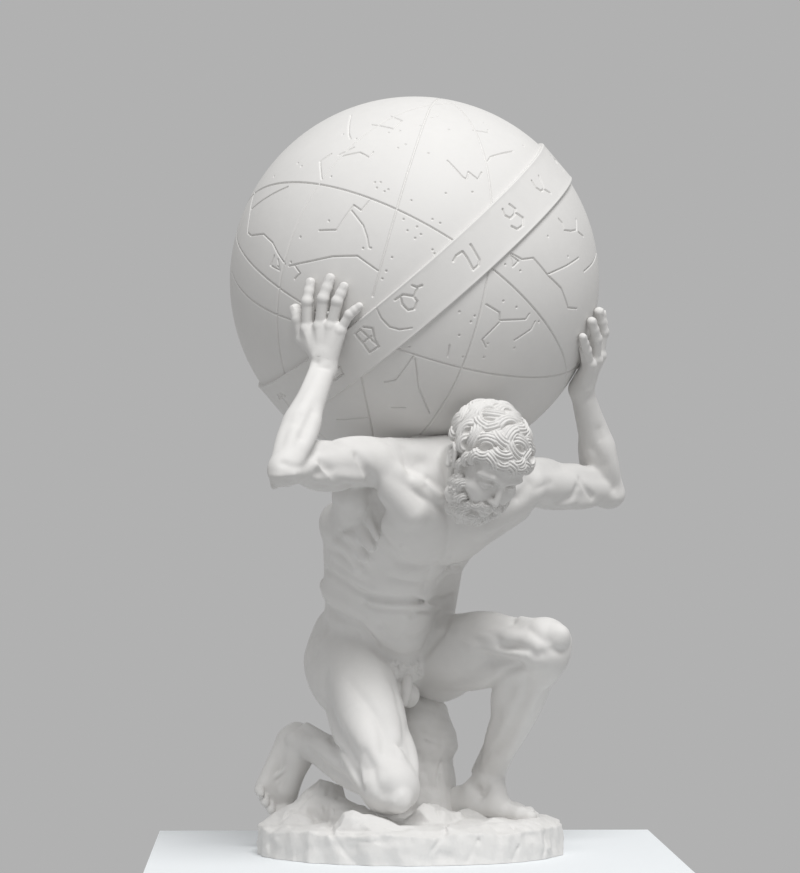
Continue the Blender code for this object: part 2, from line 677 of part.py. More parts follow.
def main():
    for obj in list(bpy.data.objects):
        bpy.data.objects.remove(obj)
    statue = model("atlas_and_rock", figure(), ROUGH_VOXEL, FINE_VOXEL, FIGURE_TRIANGLES)
    level_underside(statue)
    to_metres(statue)
    paint(statue, "white_bisque")
    paint(celestial_globe(), "white_bisque_globe")


main()
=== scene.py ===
"""Atlas statue: the looks of the kneeling man, the rock under him and the engraved sky globe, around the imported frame."""

import json
import math

import bmesh
import bpy
import numpy as np
from mathutils import Matrix, Vector
from mathutils.kdtree import KDTree

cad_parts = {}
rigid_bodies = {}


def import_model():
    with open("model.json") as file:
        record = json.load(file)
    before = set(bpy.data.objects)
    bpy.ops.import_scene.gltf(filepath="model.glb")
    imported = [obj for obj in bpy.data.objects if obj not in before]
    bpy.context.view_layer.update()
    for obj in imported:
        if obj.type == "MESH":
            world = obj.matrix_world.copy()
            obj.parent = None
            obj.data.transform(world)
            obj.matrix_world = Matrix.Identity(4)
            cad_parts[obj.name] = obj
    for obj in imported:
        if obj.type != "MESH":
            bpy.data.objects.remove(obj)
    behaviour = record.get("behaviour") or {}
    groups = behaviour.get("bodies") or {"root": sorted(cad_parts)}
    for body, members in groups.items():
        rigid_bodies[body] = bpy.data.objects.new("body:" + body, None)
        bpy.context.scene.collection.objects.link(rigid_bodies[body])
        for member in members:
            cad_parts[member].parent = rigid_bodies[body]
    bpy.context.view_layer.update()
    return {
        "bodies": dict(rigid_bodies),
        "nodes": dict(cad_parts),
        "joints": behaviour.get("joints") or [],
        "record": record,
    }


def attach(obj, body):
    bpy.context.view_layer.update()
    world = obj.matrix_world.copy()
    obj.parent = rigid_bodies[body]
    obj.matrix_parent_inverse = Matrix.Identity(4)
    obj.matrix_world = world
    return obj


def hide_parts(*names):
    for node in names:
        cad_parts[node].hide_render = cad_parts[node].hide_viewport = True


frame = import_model()

# Sizes in metres
STANDING_HEIGHT = 0.776
GLOBE_RADIUS = 0.180
BELT_WIDTH = 0.044
BELT_RISE = 0.0024
SEAT_GAP = 0.0004
BASE_RADIUS = 0.149
BASE_HEIGHT = 0.029

# The carving is worked in units of 1/776 of the standing height, which are millimetres here
UNIT = STANDING_HEIGHT / 776
BODY_VOXEL = 1.35
HEAD_VOXEL = 0.75
ROCK_VOXEL = 1.6
BODY_TRIANGLES = 370000
HAND_VOXEL = 0.8
HAND_TRIANGLES = 48000
HEAD_TRIANGLES = 150000
ROCK_TRIANGLES = 90000
GLOBE_TRIANGLES = 194000
FAR = 60.0

globe_radius = GLOBE_RADIUS / UNIT
belt_half = BELT_WIDTH / UNIT / 2
belt_rise = BELT_RISE / UNIT
seat_gap = SEAT_GAP / UNIT
base_radius = BASE_RADIUS / UNIT
base_height = BASE_HEIGHT / UNIT


# Vectors
def point(*values):
    return np.array(values, float)


def unit(vector):
    vector = np.asarray(vector, float)
    return vector / np.linalg.norm(vector)


def square(axis, side):
    """Three square directions: along the axis, as near to side as they can be, and across both."""
    axis = unit(axis)
    side = np.asarray(side, float)
    side = unit(side - axis * (side @ axis))
    return np.array([axis, side, np.cross(axis, side)])


# Masses that the carving is built up from
class Cone:
    """A bar with round ends of two radii. A squash below 1 flattens it along flat."""

    def __init__(self, a, b, ra, rb, flat=None, squash=1.0):
        self.a, self.b = np.asarray(a, float), np.asarray(b, float)
        self.ra, self.rb = ra, rb
        self.axis = self.b - self.a
        self.long = max(float(self.axis @ self.axis), 1e-9)
        self.centre = (self.a + self.b) / 2
        self.flat = None if flat is None else unit(flat)
        self.squash = squash
        self.reach = math.sqrt(self.long) / 2 + max(ra, rb)

    def distance(self, p):
        v = p - self.a
        t = np.clip(v @ self.axis / self.long, 0, 1)
        w = v - t[:, None] * self.axis
        if self.flat is not None:
            w = w + np.outer((w @ self.flat) * (1 / self.squash - 1), self.flat)
        return np.sqrt((w * w).sum(1)) - (self.ra + (self.rb - self.ra) * t)

    def blanks(self):
        steps = max(2, min(7, int(math.sqrt(self.long) / max(min(self.ra, self.rb), 1) * 1.5) + 2))
        for i in range(steps):
            t = i / (steps - 1)
            radius = self.ra + (self.rb - self.ra) * t
            yield Matrix.LocRotScale(Vector(self.a + t * self.axis), None, Vector((radius, radius, radius)))


class Egg:
    """An ellipsoid: the rows of axes are its directions."""

    def __init__(self, centre, axes, radii):
        self.centre = np.asarray(centre, float)
        self.axes = np.asarray(axes, float)
        self.radii = np.asarray(radii, float)
        self.reach = float(max(radii))

    def distance(self, p):
        u = ((p - self.centre) @ self.axes.T) / self.radii
        far = np.sqrt((u * u).sum(1))
        u = u / self.radii
        return far * (far - 1) / (np.sqrt((u * u).sum(1)) + 1e-9)

    def blanks(self):
        rows = [[*(self.axes.T[i] * self.radii), self.centre[i]] for i in range(3)]
        yield Matrix(rows + [[0, 0, 0, 1]])


class Strand:
    """A tapered round strand along a row of points."""

    def __init__(self, row, radii):
        self.parts = [Cone(a, b, ra, rb) for a, b, ra, rb in zip(row, row[1:], radii, radii[1:])]
        low, high = np.min(row, 0), np.max(row, 0)
        self.centre = (low + high) / 2
        self.reach = float(np.max(np.linalg.norm(np.asarray(row) - self.centre, axis=1)) + max(radii))

    def distance(self, p):
        return np.min([part.distance(p) for part in self.parts], 0)

    def blanks(self):
        for part in self.parts:
            yield from part.blanks()


def muscle(a, b, width, thick, facing):
    """A belly from a to b whose thickness points along facing."""
    a, b = np.asarray(a, float), np.asarray(b, float)
    return Egg((a + b) / 2, square(b - a, facing), (np.linalg.norm(b - a) / 2, thick, width))


class Rock:
    """A chipped round block: what lies behind all of its planes."""

    def __init__(self, planes, centre, radius, depth):
        self.normals = np.array([unit(normal) for normal, _ in planes])
        self.offsets = np.array([offset for _, offset in planes], float)
        self.centre = np.asarray(centre, float)
        self.radius, self.depth = radius, depth
        self.reach = math.hypot(radius, depth / 2) + 3

    def distance(self, p):
        return (p @ self.normals.T - self.offsets).max(1)

    def blanks(self):
        size = Vector((self.radius, self.radius, self.depth / 2))
        yield Matrix.LocRotScale(Vector(self.centre), None, size)


class Hewn:
    """Flat facets all over a rough block, made by folding the surface along several directions."""

    def __init__(self, centre, reach, folds, steepness, seed):
        draw = np.random.default_rng(seed)
        self.centre, self.reach = np.asarray(centre, float), reach
        ways = draw.normal(size=(folds, 3))
        self.ways = ways / np.linalg.norm(ways, axis=1)[:, None]
        self.lengths = draw.uniform(9, 34, folds)
        self.starts = draw.uniform(0, 1, folds)
        self.steepness = steepness

    def lift(self, p):
        turns = p @ self.ways.T / self.lengths + self.starts
        return (np.abs(turns % 1 - 0.5) - 0.25) @ self.lengths * self.steepness


class Stroke:
    """A line pressed into the surface, or raised from it where the depth is negative."""

    def __init__(self, row, width, depth):
        row = np.asarray(row, float)
        if len(row) > 2:
            row = curve(row, 4)
        self.starts = row[:-1] if len(row) > 1 else row
        self.runs = row[1:] - row[:-1] if len(row) > 1 else np.zeros_like(row)
        self.width, self.depth = width, depth
        self.centre = (row.min(0) + row.max(0)) / 2
        self.reach = float(np.max(np.linalg.norm(row - self.centre, axis=1))) + 2.5 * width

    def lift(self, p):
        nearest = np.full(len(p), 1e9)
        for start, run in zip(self.starts, self.runs):
            v = p - start
            t = np.clip(v @ run / max(run @ run, 1e-9), 0, 1)
            w = v - t[:, None] * run
            nearest = np.minimum(nearest, (w * w).sum(1))
        return self.depth * np.exp(-((np.sqrt(nearest) / self.width) ** 1.4))


def curve(row, steps):
    """A smooth line through all the points of a row."""
    ends = np.concatenate([[2 * row[0] - row[1]], row, [2 * row[-1] - row[-2]]])
    points = []
    for a, b, c, d in zip(ends, ends[1:], ends[2:], ends[3:]):
        for t in np.arange(steps) / steps:
            points.append(0.5 * (2 * b + (c - a) * t + (2 * a - 5 * b + 4 * c - d) * t**2
                                 + (3 * b - a - 3 * c + d) * t**3))
    return np.array(points + [row[-1]])


class Form:
    """Masses joined with soft seams, in order. Some are cuts. Strokes come last."""

    def __init__(self):
        self.steps = []
        self.strokes = []

    def add(self, mass, seam=6.0):
        self.steps.append((mass, seam, False))

    def cut(self, mass, seam=2.0):
        self.steps.append((mass, seam, True))

    def close(self):
        """Works out the sphere that holds the form."""
        added = [mass for mass, _, is_cut in self.steps if not is_cut]
        low = np.min([mass.centre - mass.reach for mass in added], 0)
        high = np.max([mass.centre + mass.reach for mass in added], 0)
        self.centre = (low + high) / 2
        self.reach = max(np.linalg.norm(mass.centre - self.centre) + mass.reach for mass in added)
        return self

    def distance(self, p):
        d = np.full(len(p), FAR)
        for mass, seam, is_cut in self.steps:
            away = p - mass.centre
            near = np.flatnonzero((away * away).sum(1) < (mass.reach + seam + 9.0) ** 2)
            if not len(near):
                continue
            here = d[near]
            other = mass.distance(p[near])
            if is_cut:
                blend = np.maximum(seam - np.abs(here + other), 0)
                d[near] = np.maximum(here, -other) + blend * blend / (4 * seam)
            else:
                blend = np.maximum(seam - np.abs(here - other), 0)
                d[near] = np.minimum(here, other) - blend * blend / (4 * seam)
        for stroke in self.strokes:
            away = p - stroke.centre
            near = np.flatnonzero((away * away).sum(1) < stroke.reach**2)
            if len(near):
                d[near] += stroke.lift(p[near])
        return d

    def press(self, lines):
        """Presses lines (width, depth, points) in, after laying their points on the surface."""
        points = np.concatenate([row for _, _, row in lines])
        for _ in range(8):
            gap = self.distance(points)
            slope = np.stack([self.distance(points + step) - gap for step in np.eye(3) * 0.2], 1) / 0.2
            slope /= np.maximum(np.linalg.norm(slope, axis=1), 0.5)[:, None]
            points = points - slope * np.clip(gap, -6, 6)[:, None]
        start = 0
        for width, depth, row in lines:
            self.strokes.append(Stroke(points[start : start + len(row)], width, depth))
            start += len(row)

    def blanks(self):
        for mass, _, is_cut in self.steps:
            if not is_cut:
                yield from mass.blanks()


# Where the globe sits, and the skeleton
NAPE_SEAT = point(14, -48, 388)
globe_centre = NAPE_SEAT + globe_radius * unit((-10.2, 68, 166))
BELT_AXIS = unit((-0.645, -0.13, 0.75))


def on_globe(azimuth, height, lift):
    """A point above the globe's surface, azimuth 0 to the front and 90 to the figure's left."""
    a, h = math.radians(azimuth), math.radians(height)
    way = point(math.sin(a) * math.cos(h), -math.cos(a) * math.cos(h), math.sin(h))
    return globe_centre + (globe_radius + lift) * way


HIP_R, KNEE_R, ANKLE_R = point(-60, 31, 192), point(-18, -85, 66), point(-105, 62, 101)
HIP_L, KNEE_L, ANKLE_L = point(8, 66, 188), point(130, -64, 203), point(76, 30, 69)
SHOULDER_R, ELBOW_R, WRIST_R = point(-38.6, -118, 376), point(-116.4, -226, 370.6), on_globe(-27.3, -26, 26)
SHOULDER_L, ELBOW_L, WRIST_L = point(109, -44, 357.6), point(196, 60, 350), on_globe(84.7, -32.8, 13.3)
HEAD = point(75, -140, 386)


class Limb:
    """A bone from a to b. Its rows are in shares of its length, then outwards and frontwards."""

    def __init__(self, a, b, front, side):
        self.a, self.b = a, b
        self.length = np.linalg.norm(b - a)
        self.along, self.front, across = square(b - a, front)
        self.out = across * side

    def at(self, share, out=0.0, front=0.0):
        return self.a + self.along * self.length * share + self.out * out + self.front * front

    def cone(self, start, start_radius, end, end_radius):
        return Cone(self.at(*start), self.at(*end), start_radius, end_radius)

    def belly(self, start, end, width, thick):
        facing = self.out * (start[1] + end[1]) + self.front * (start[2] + end[2])
        return muscle(self.at(*start), self.at(*end), width, thick, facing)

    def knob(self, share, out, front, radii):
        return Egg(self.at(share, out, front), square(self.along, self.out), radii)

    def line(self, rows, *radii):
        return Strand([self.at(*row) for row in rows], radii)


class Block:
    """A body block with its own left, front and up."""

    def __init__(self, origin, left, up):
        self.origin = origin
        self.left, self.up, back = square(left, up)
        self.front = back

    def at(self, left, front, up):
        return self.origin + self.left * left + self.front * front + self.up * up

    def egg(self, left, front, up, radii, turn=0.0, roll=0.0):
        rows = np.array([self.left, self.front, self.up])
        if turn:
            c, s = math.cos(turn), math.sin(turn)
            rows = np.array([c * rows[0] - s * rows[2], rows[1], c * rows[2] + s * rows[0]])
        if roll:
            c, s = math.cos(roll), math.sin(roll)
            rows = np.array([c * rows[0] + s * rows[1], c * rows[1] - s * rows[0], rows[2]])
        return Egg(self.at(left, front, up), rows, radii)

    def bar(self, start, end, start_radius, end_radius):
        return Cone(self.at(*start), self.at(*end), start_radius, end_radius)

    def line(self, rows, *radii):
        return Strand([self.at(*row) for row in rows], radii)


def limbs():
    bones = {}
    for name, side, a, b, c in (("leg_r", 1, HIP_R, KNEE_R, ANKLE_R), ("leg_l", -1, HIP_L, KNEE_L, ANKLE_L)):
        bones[name] = (Limb(a, b, b - c, side), Limb(b, c, b - a, side))
    for name, side, a, b, c in (("arm_r", 1, SHOULDER_R, ELBOW_R, WRIST_R), ("arm_l", -1, SHOULDER_L, ELBOW_L, WRIST_L)):
        bones[name] = (Limb(a, b, c - b, side), Limb(b, c, a - b, side))
    return bones


CHEST = Block((SHOULDER_R + SHOULDER_L) / 2, (0.80, 0.585, -0.12), (0.285, -0.62, 0.73))
PELVIS = Block((HIP_R + HIP_L) / 2, HIP_L - HIP_R, (0.02, -0.30, 0.95))
SKULL = Block(HEAD, (0.79, 0.533, -0.139), (0.487, -0.489, 0.687))


# The body's parts
def leg(thigh, shank):
    form = Form()
    form.add(thigh.cone((0, 0, 0), 39, (0.55, 2, 4), 31), 10)
    form.add(thigh.cone((0.5, 2, 4), 31, (0.96, 0, 0), 23), 10)
    form.add(thigh.belly((0.02, 4, 22), (0.86, 0, 18), 15, 16), 4)
    form.add(thigh.belly((0.08, 24, 8), (0.95, 17, 9), 19, 17), 4)
    form.add(thigh.belly((0.50, -16, 13), (0.99, -18, 9), 12, 14), 3)
    form.add(thigh.belly((-0.05, -18, 0), (0.62, -12, -10), 22, 22), 8)
    form.add(thigh.belly((-0.24, 4, -22), (0.36, 6, -22), 32, 27), 10)
    form.add(thigh.belly((0.0, 12, -20), (1.0, 15, -13), 14, 18), 4)
    form.add(thigh.belly((0.0, -8, -24), (1.02, -15, -12), 15, 19), 4)
    form.add(thigh.line([(0.02, 6, 34), (0.3, -14, 27), (0.6, -27, 10), (0.95, -25, -4)], 4, 5, 5, 4), 5)
    form.add(Cone(thigh.at(0.985, 0, 2), shank.at(0.04, 0, 2), 24, 23), 8)
    cap = unit(thigh.front + shank.front)
    form.add(Egg(thigh.b + cap * 19, square(cap, thigh.out), (9, 12, 13)), 4)
    form.add(Cone(thigh.at(0.84, 0, 23), thigh.b + cap * 22, 7, 8), 4)
    form.add(Cone(thigh.b + cap * 22, shank.at(0.17, 0, 17), 6, 6), 4)
    form.add(shank.knob(0.10, 0, 14, (14, 11, 10)), 8)
    for side in (-1, 1):
        form.add(Egg(thigh.at(0.99, 19 * side, 0), square(thigh.along, thigh.out), (14, 8, 14)), 5)
    form.add(shank.cone((0.02, 0, -2), 22, (0.45, 0, -4), 18), 8)
    form.add(shank.cone((0.45, 0, -4), 18, (0.97, 0, 0), 13), 8)
    form.add(shank.belly((0.03, -11, -17), (0.60, -8, -14), 14, 15), 3)
    form.add(shank.belly((0.03, 11, -17), (0.55, 8, -14), 13, 14), 3)
    form.add(shank.belly((0.25, 0, -12), (0.86, 0, -11), 17, 9), 5)
    form.add(shank.belly((0.10, 9, 10), (0.80, 4, 7), 9, 9), 4)
    form.add(shank.cone((0.08, -5, 12), 8, (0.75, -2, 9), 5), 4)
    form.add(shank.belly((0.12, 16, -2), (0.85, 12, -4), 7, 7), 4)
    form.add(shank.cone((0.62, 0, -13), 6, (1.02, 0, -16), 5), 4)
    form.add(shank.knob(0.99, -13, 2, (8, 5.5, 7)), 3)
    form.add(shank.knob(1.01, 13, -2, (8, 5.5, 7)), 3)
    return form.close()


def arm(upper, fore):
    form = Form()
    form.add(upper.cone((0, 0, 0), 22, (0.95, 0, 0), 15), 8)
    form.add(upper.belly((-0.26, 4, 6), (0.56, 14, 4), 16, 19), 4)
    form.add(upper.belly((-0.20, -8, 12), (0.48, 6, 14), 12, 13), 3.5)
    form.add(upper.belly((-0.20, 10, -8), (0.46, 14, -4), 13, 15), 4)
    form.add(upper.belly((0.20, -1, 11), (0.98, 0, 10), 12, 13), 3)
    form.add(upper.belly((0.08, 6, -13), (0.80, 5, -10), 11, 13), 3)
    form.add(upper.belly((0.08, -8, -11), (0.84, -6, -9), 10, 12), 3)
    form.add(upper.cone((0.93, 0, 0), 15, (1.02, 0, -3), 13), 6)
    form.add(upper.knob(1.04, 0, -7, (8, 8, 7)), 4)
    form.add(upper.knob(0.99, -12, -4, (7, 5, 6)), 4)
    form.add(fore.cone((0, 0, 2), 15, (0.42, 0, 0), 16), 6)
    form.add(fore.cone((0.42, 0, 0), 16, (0.98, 0, 0), 11), 6)
    form.add(fore.belly((-0.14, 10, 6), (0.62, 6, 3), 10, 13), 3)
    form.add(fore.belly((0.02, -9, 3), (0.66, -6, 1), 11, 12), 3)
    form.add(fore.belly((0.04, 5, -9), (0.72, 4, -6), 10, 9), 3)
    form.add(fore.belly((0.06, -6, -8), (0.76, -4, -6), 8, 8), 3)
    form.add(fore.cone((0.3, 0, -10), 3.5, (0.96, 4, -9), 3.5), 4)
    return form.close()


def torso():
    form = Form()
    form.add(CHEST.egg(0, -2, -62, (64, 47, 78)), 10)
    form.add(CHEST.egg(0, -8, -20, (62, 34, 40)), 14)
    for side, shoulder in ((1, SHOULDER_L), (-1, SHOULDER_R)):
        form.add(CHEST.egg(4 + 31 * side, 30, -47, (35, 15, 35), roll=-0.2 * side), 4)
        form.add(Cone(CHEST.at(42 * side, 32, -28), shoulder + CHEST.front * 10, 15, 15), 7)
        form.add(Cone(CHEST.at(22 * side, 27, -8), shoulder + CHEST.front * 8 + CHEST.up * 6, 9, 11), 5)
        form.add(CHEST.egg(44 * side, -32, -44, (28, 16, 38)), 10)
        form.add(Cone(CHEST.at(0, -14, 8), shoulder - CHEST.front * 6, 17, 16), 12)
        form.add(CHEST.bar((13 * side, -32, -4), (14 * side, -28, -150), 16, 16), 8)
        for row in range(4):
            drop = 15 * row
            form.add(CHEST.bar((65 * side, 4, -56 - drop), ((55 - 2 * row) * side, 28 - 3 * row, -68 - drop), 6.5, 4), 3)
    # The right back edge spreads wide under the raised arm
    form.add(Cone(SHOULDER_R + point(24, 27, -24), CHEST.at(-59, -21, -96), 18, 19), 12)
    form.add(Cone(CHEST.at(-59, -21, -96), PELVIS.at(-50, -6, 34), 19, 15), 14)
    form.add(Cone((-58, -96, 347), (-57, -62, 316), 17, 17), 10)
    form.add(Cone(SHOULDER_L + point(-12, 10, -20), CHEST.at(62, -10, -100), 20, 20), 14)
    form.add(Cone(CHEST.at(62, -10, -100), PELVIS.at(52, 4, 32), 20, 14), 14)
    # Waist and belly
    form.add(Cone(CHEST.at(-2, -6, -118), PELVIS.at(0, -4, 16), 50, 54, PELVIS.front, 0.8), 16)
    form.add(Cone(CHEST.at(0, 16, -112), PELVIS.at(2, 20, 10), 32, 32), 14)
    # Pelvis and seat
    form.add(PELVIS.egg(0, -6, 4, (66, 44, 44)), 14)
    for side in (-1, 1):
        form.add(PELVIS.egg(49 * side, 2, 34, (20, 28, 14)), 5)
    form.add(PELVIS.egg(-34, -26, 4, (32, 30, 38)), 12)
    form.add(PELVIS.egg(34, -26, -2, (34, 30, 40)), 12)
    form.add(PELVIS.egg(0, 30, -8, (24, 18, 24)), 10)
    form.add(PELVIS.line([(-64, -18, 62), (-65, 2, 61), (-57, 21, 58), (-46, 33, 51), (-35, 42, 40)], 9, 11, 12, 11, 8), 4)
    return form.close()


def groin():
    form = Form()
    form.add(PELVIS.egg(2, 47, -6, (17, 8, 10)), 6)
    form.add(PELVIS.egg(8, 53, -25, (9.5, 9, 12)), 2)
    form.add(PELVIS.egg(-5, 52, -24, (8.5, 8.5, 11)), 2)
    form.add(PELVIS.line([(1, 55, -8), (-1, 61, -18), (-2, 62, -29)], 5.0, 5.2, 4.4), 1.2)
    random = np.random.default_rng(CURL_SEED + 2)
    for i in range(26):
        left, high = random.uniform(-17, 19), random.uniform(-6, 9)
        tuft = PELVIS.at(left, 53 - 0.012 * left * left, high)
        form.add(Curl(tuft, PELVIS.front + PELVIS.left * left * 0.02, -PELVIS.up, 3.6, 1, 3.0, 2.4, 1, 1.2), 0.6)
    return form.close()


def neck():
    form = Form()
    form.add(Cone(CHEST.at(4, 2, 0), SKULL.at(0, -16, -26), 25, 24), 12)
    form.add(Cone(CHEST.at(10, 16, 0), SKULL.at(0, -2, -40), 19, 21), 8)
    form.add(Cone(CHEST.at(4, 27, -14), SKULL.at(-28, -4, -22), 4.5, 7), 4)
    form.add(Cone(CHEST.at(14, 27, -12), SKULL.at(28, -4, -22), 4.5, 7), 4)
    form.add(SKULL.egg(0, -4, 0, (28, 36, 31)), 6)
    return form.close()


# The head
def face():
    form = Form()
    form.add(SKULL.egg(0, -4, 2, (33, 41, 36)), 6)
    form.add(SKULL.egg(0, 19, -20, (25, 21, 32)), 8)
    form.add(SKULL.egg(0, 27, -46, (15, 12, 12)), 7)
    form.add(SKULL.egg(0, 27, 6, (23, 10, 16)), 8)
    for side in (-1, 1):
        form.add(SKULL.line([(3 * side, 39, -3), (13 * side, 38.5, -0.5), (24 * side, 30, -4)], 2.3, 2.5, 2.0), 5)
        form.cut(SKULL.egg(13 * side, 43, -10, (8.5, 7.5, 5.4)), 5)
        form.add(SKULL.egg(13 * side, 31.5, -9.5, (6.8, 6.6, 6.2)), 1.5)
        lid = [(6.8, 36.2, -10.4), (10, 38.4, -8.6), (14, 38.3, -8.2), (19.5, 34.0, -10.6)]
        form.add(SKULL.line([(x * side, y, z) for x, y, z in lid], 0.9, 1.3, 1.3, 0.9), 1.0)
        lid = [(6.8, 36.2, -10.8), (10.5, 37.6, -13.2), (15, 37.0, -13.2), (19.5, 33.8, -11.0)]
        form.add(SKULL.line([(x * side, y, z) for x, y, z in lid], 0.9, 1.0, 1.0, 0.8), 1.2)
        form.add(SKULL.egg(19 * side, 28, -21, (9, 8, 7)), 7)
        form.add(SKULL.egg(12 * side, 34, -27, (7, 5, 7)), 7)
    form.add(SKULL.line([(0, 38, -4), (0, 40.5, -11), (0, 44.5, -18), (0, 46.0, -23)], 2.8, 2.7, 3.2, 3.7), 3)
    for side in (-1, 1):
        form.add(SKULL.egg(4.0 * side, 41.6, -24, (2.9, 4.2, 2.8)), 2.4)
        form.cut(SKULL.egg(2.5 * side, 43.2, -27.2, (1.3, 2.2, 1.3)), 1.0)
    # Lips
    form.add(SKULL.line([(-9, 38, -38.5), (-3, 42.5, -36.8), (3, 42.5, -36.8), (9, 38, -38.5)], 1.4, 2.2, 2.2, 1.4), 2)
    form.add(SKULL.line([(-8, 38, -40.6), (0, 42.2, -41.6), (8, 38, -40.6)], 1.4, 2.6, 1.4), 1.2)
    for side in (-1, 1):
        ear(form, side)
    return form.close()


def ear(form, side):
    rim = [(33, 6, -20), (36, 4, -14), (37.5, 0, -6), (37.5, -7, -4), (36.5, -11, -10), (35, -8, -18), (34, -2, -25)]
    form.add(SKULL.line([(x * side, y, z) for x, y, z in rim], 1.6, 1.8, 2.0, 2.0, 2.0, 2.2, 3.0), 1.5)
    form.add(SKULL.egg(34 * side, -3, -14, (2.4, 6, 9)), 2)
    fold = [(36, -5, -8), (36.5, -6, -14), (35, -2, -19)]
    form.add(SKULL.line([(x * side, y, z) for x, y, z in fold], 1.2, 1.4, 1.2), 1)
    form.cut(SKULL.egg(37 * side, 0.5, -15.5, (3.5, 2.4, 3.4)), 1)


CURL_SEED = 7
LOCK_LENGTH = 1.45
GOLDEN_TURN = 2.399963
GOLDEN_SHARE = 0.618034


class Curl:
    """A raised lock: with arms its strands wind in to its middle, without them they run side by side round a bend."""

    def __init__(self, centre, outward, lean, size, hand, high, pitch, arms, depth):
        self.axes = square(outward, lean)
        self.centre = np.asarray(centre, float)
        self.egg = Egg(centre, self.axes, (high, size * LOCK_LENGTH, size))
        self.hand, self.pitch, self.arms, self.depth = hand, pitch, arms, depth
        self.reach = self.egg.reach
        self.size = size

    def distance(self, p):
        v = (p - self.centre) @ self.axes.T
        x, y = v[:, 1] / LOCK_LENGTH, v[:, 2] * self.hand
        if not self.arms:
            ring = np.sqrt(x * x + (y + 1.05 * self.size) ** 2)
            strands = self.depth * np.abs(np.sin(math.pi * ring / self.pitch + 0.6))
            bitten = np.maximum(self.egg.distance(p), 0.62 * self.size - ring)
            return bitten + self.depth * 0.5 - strands
        ring = np.sqrt(x * x + y * y)
        phase = 2 * math.pi * ring / self.pitch + self.arms * np.arctan2(y, x)
        return self.egg.distance(p) + self.depth * (0.5 - 0.5 * np.cos(phase)) * np.clip(ring / 1.6, 0, 1)

    def blanks(self):
        yield from self.egg.blanks()


def hair():
    """Thick short crescent curls over the crown, in rows across the brow."""
    form = Form()
    form.add(SKULL.egg(0, -6, 4, (34.5, 41.5, 36.5)), 3)
    random = np.random.default_rng(CURL_SEED)
    count = 104
    for i in range(count):
        height = 1 - 2 * (i + 0.5) / count
        ring = math.sqrt(1 - height * height)
        left, front = math.cos(i * GOLDEN_TURN) * ring, math.sin(i * GOLDEN_TURN) * ring
        turn, size = random.uniform(-1, 1), random.uniform(6.6, 8.8)
        hand = 1 if random.uniform() < 0.5 else -1
        high = random.uniform(4.6, 6.6)
        on_face = front > 0.36 and height < 0.36 or front > 0.10 and height < -0.08
        by_ear = abs(front + 0.02) < 0.32 and height < -0.12
        if height < -0.62 or on_face or by_ear:
            continue
        middle = SKULL.at(34 * left, 41 * front - 6, 34 * height + 4)
        outward = SKULL.left * left + SKULL.front * front + SKULL.up * height
        sweep = SKULL.left * (0.9 + turn * 0.4) - SKULL.up * (0.3 + turn * 0.7) + SKULL.front * turn * 0.5
        form.add(Curl(middle, outward, sweep, size, hand, high, 3.1, 0, 1.7), 0.5)
    # The fringe over the brow, and the locks before the ears
    for i in range(7):
        share = i / 6 * 2 - 1
        middle = SKULL.at(27 * share, 35 - 13 * share * share, 13.5 - 2.5 * share * share)
        outward = SKULL.front + SKULL.left * share * 0.9 + SKULL.up * 0.25
        sweep = SKULL.left - SKULL.up * (0.6 if i % 2 else -0.2)
        form.add(Curl(middle, outward, sweep, 7.0, 1 if i % 2 else -1, 5.6, 2.8, 0, 1.6), 0.5)
    for side in (-1, 1):
        for y, z, size in ((20, 6, 6.0), (13, -3, 5.6), (10, -12, 5.0)):
            form.add(Curl(SKULL.at(31.5 * side, y, z), SKULL.left * side + SKULL.front * 0.3, -SKULL.up, size, side,
                          4.4, 2.6, 0, 1.4), 0.5)
    return form.close()


def beard():
    """A short full beard of small ringlets, with the moustache drooping over it."""
    form = Form()
    for side in (-1, 1):
        form.add(SKULL.bar((26 * side, 10, -20), (22 * side, 17, -44), 5, 7), 5)
        form.add(SKULL.bar((24 * side, 15, -44), (12 * side, 25, -52), 8, 9), 5)
    form.add(SKULL.egg(0, 28, -51, (17, 12, 11)), 6)
    random = np.random.default_rng(CURL_SEED + 1)
    count = 98
    for i in range(count):
        turn = -2.0 + 4.0 * (i * GOLDEN_SHARE % 1.0)
        drop = 22 + 40 * (i + 0.5) / count
        size = random.uniform(4.0, 5.3)
        lean = -SKULL.up + SKULL.left * random.uniform(-0.8, 0.8)
        if drop < 35 and abs(turn) < 1.18 or drop < 46 and abs(turn) < 0.62:
            continue
        wide = 28.5 - max(0, drop - 38) * 0.5
        deep = 22 - max(0, drop - 48) * 0.6
        middle = SKULL.at(wide * math.sin(turn), 17 + deep * math.cos(turn), -drop)
        outward = SKULL.left * math.sin(turn) + SKULL.front * math.cos(turn) - SKULL.up * 0.3 * (drop > 52)
        hand = 1 if math.sin(turn) > 0 else -1
        form.add(Curl(middle, outward, lean, size, hand, 4.6, 2.3, 2 * (i % 2), 1.4), 0.4)
    # Moustache locks sweep down from under the nose
    for side in (-1, 1):
        for left, front, up, size, drop in ((4.5, 43.5, -31.0, 4.4, 0.35), (11.5, 40.5, -34.5, 4.8, 0.8),
                                            (16.5, 34.5, -41.0, 4.4, 1.6)):
            outward = SKULL.front + SKULL.left * side * left * 0.04
            form.add(Curl(SKULL.at(left * side, front - 1.5, up), outward, SKULL.left * side - SKULL.up * drop, size,
                          -side, 4.2, 2.0, 0, 1.1), 0.5)
    return form.close()


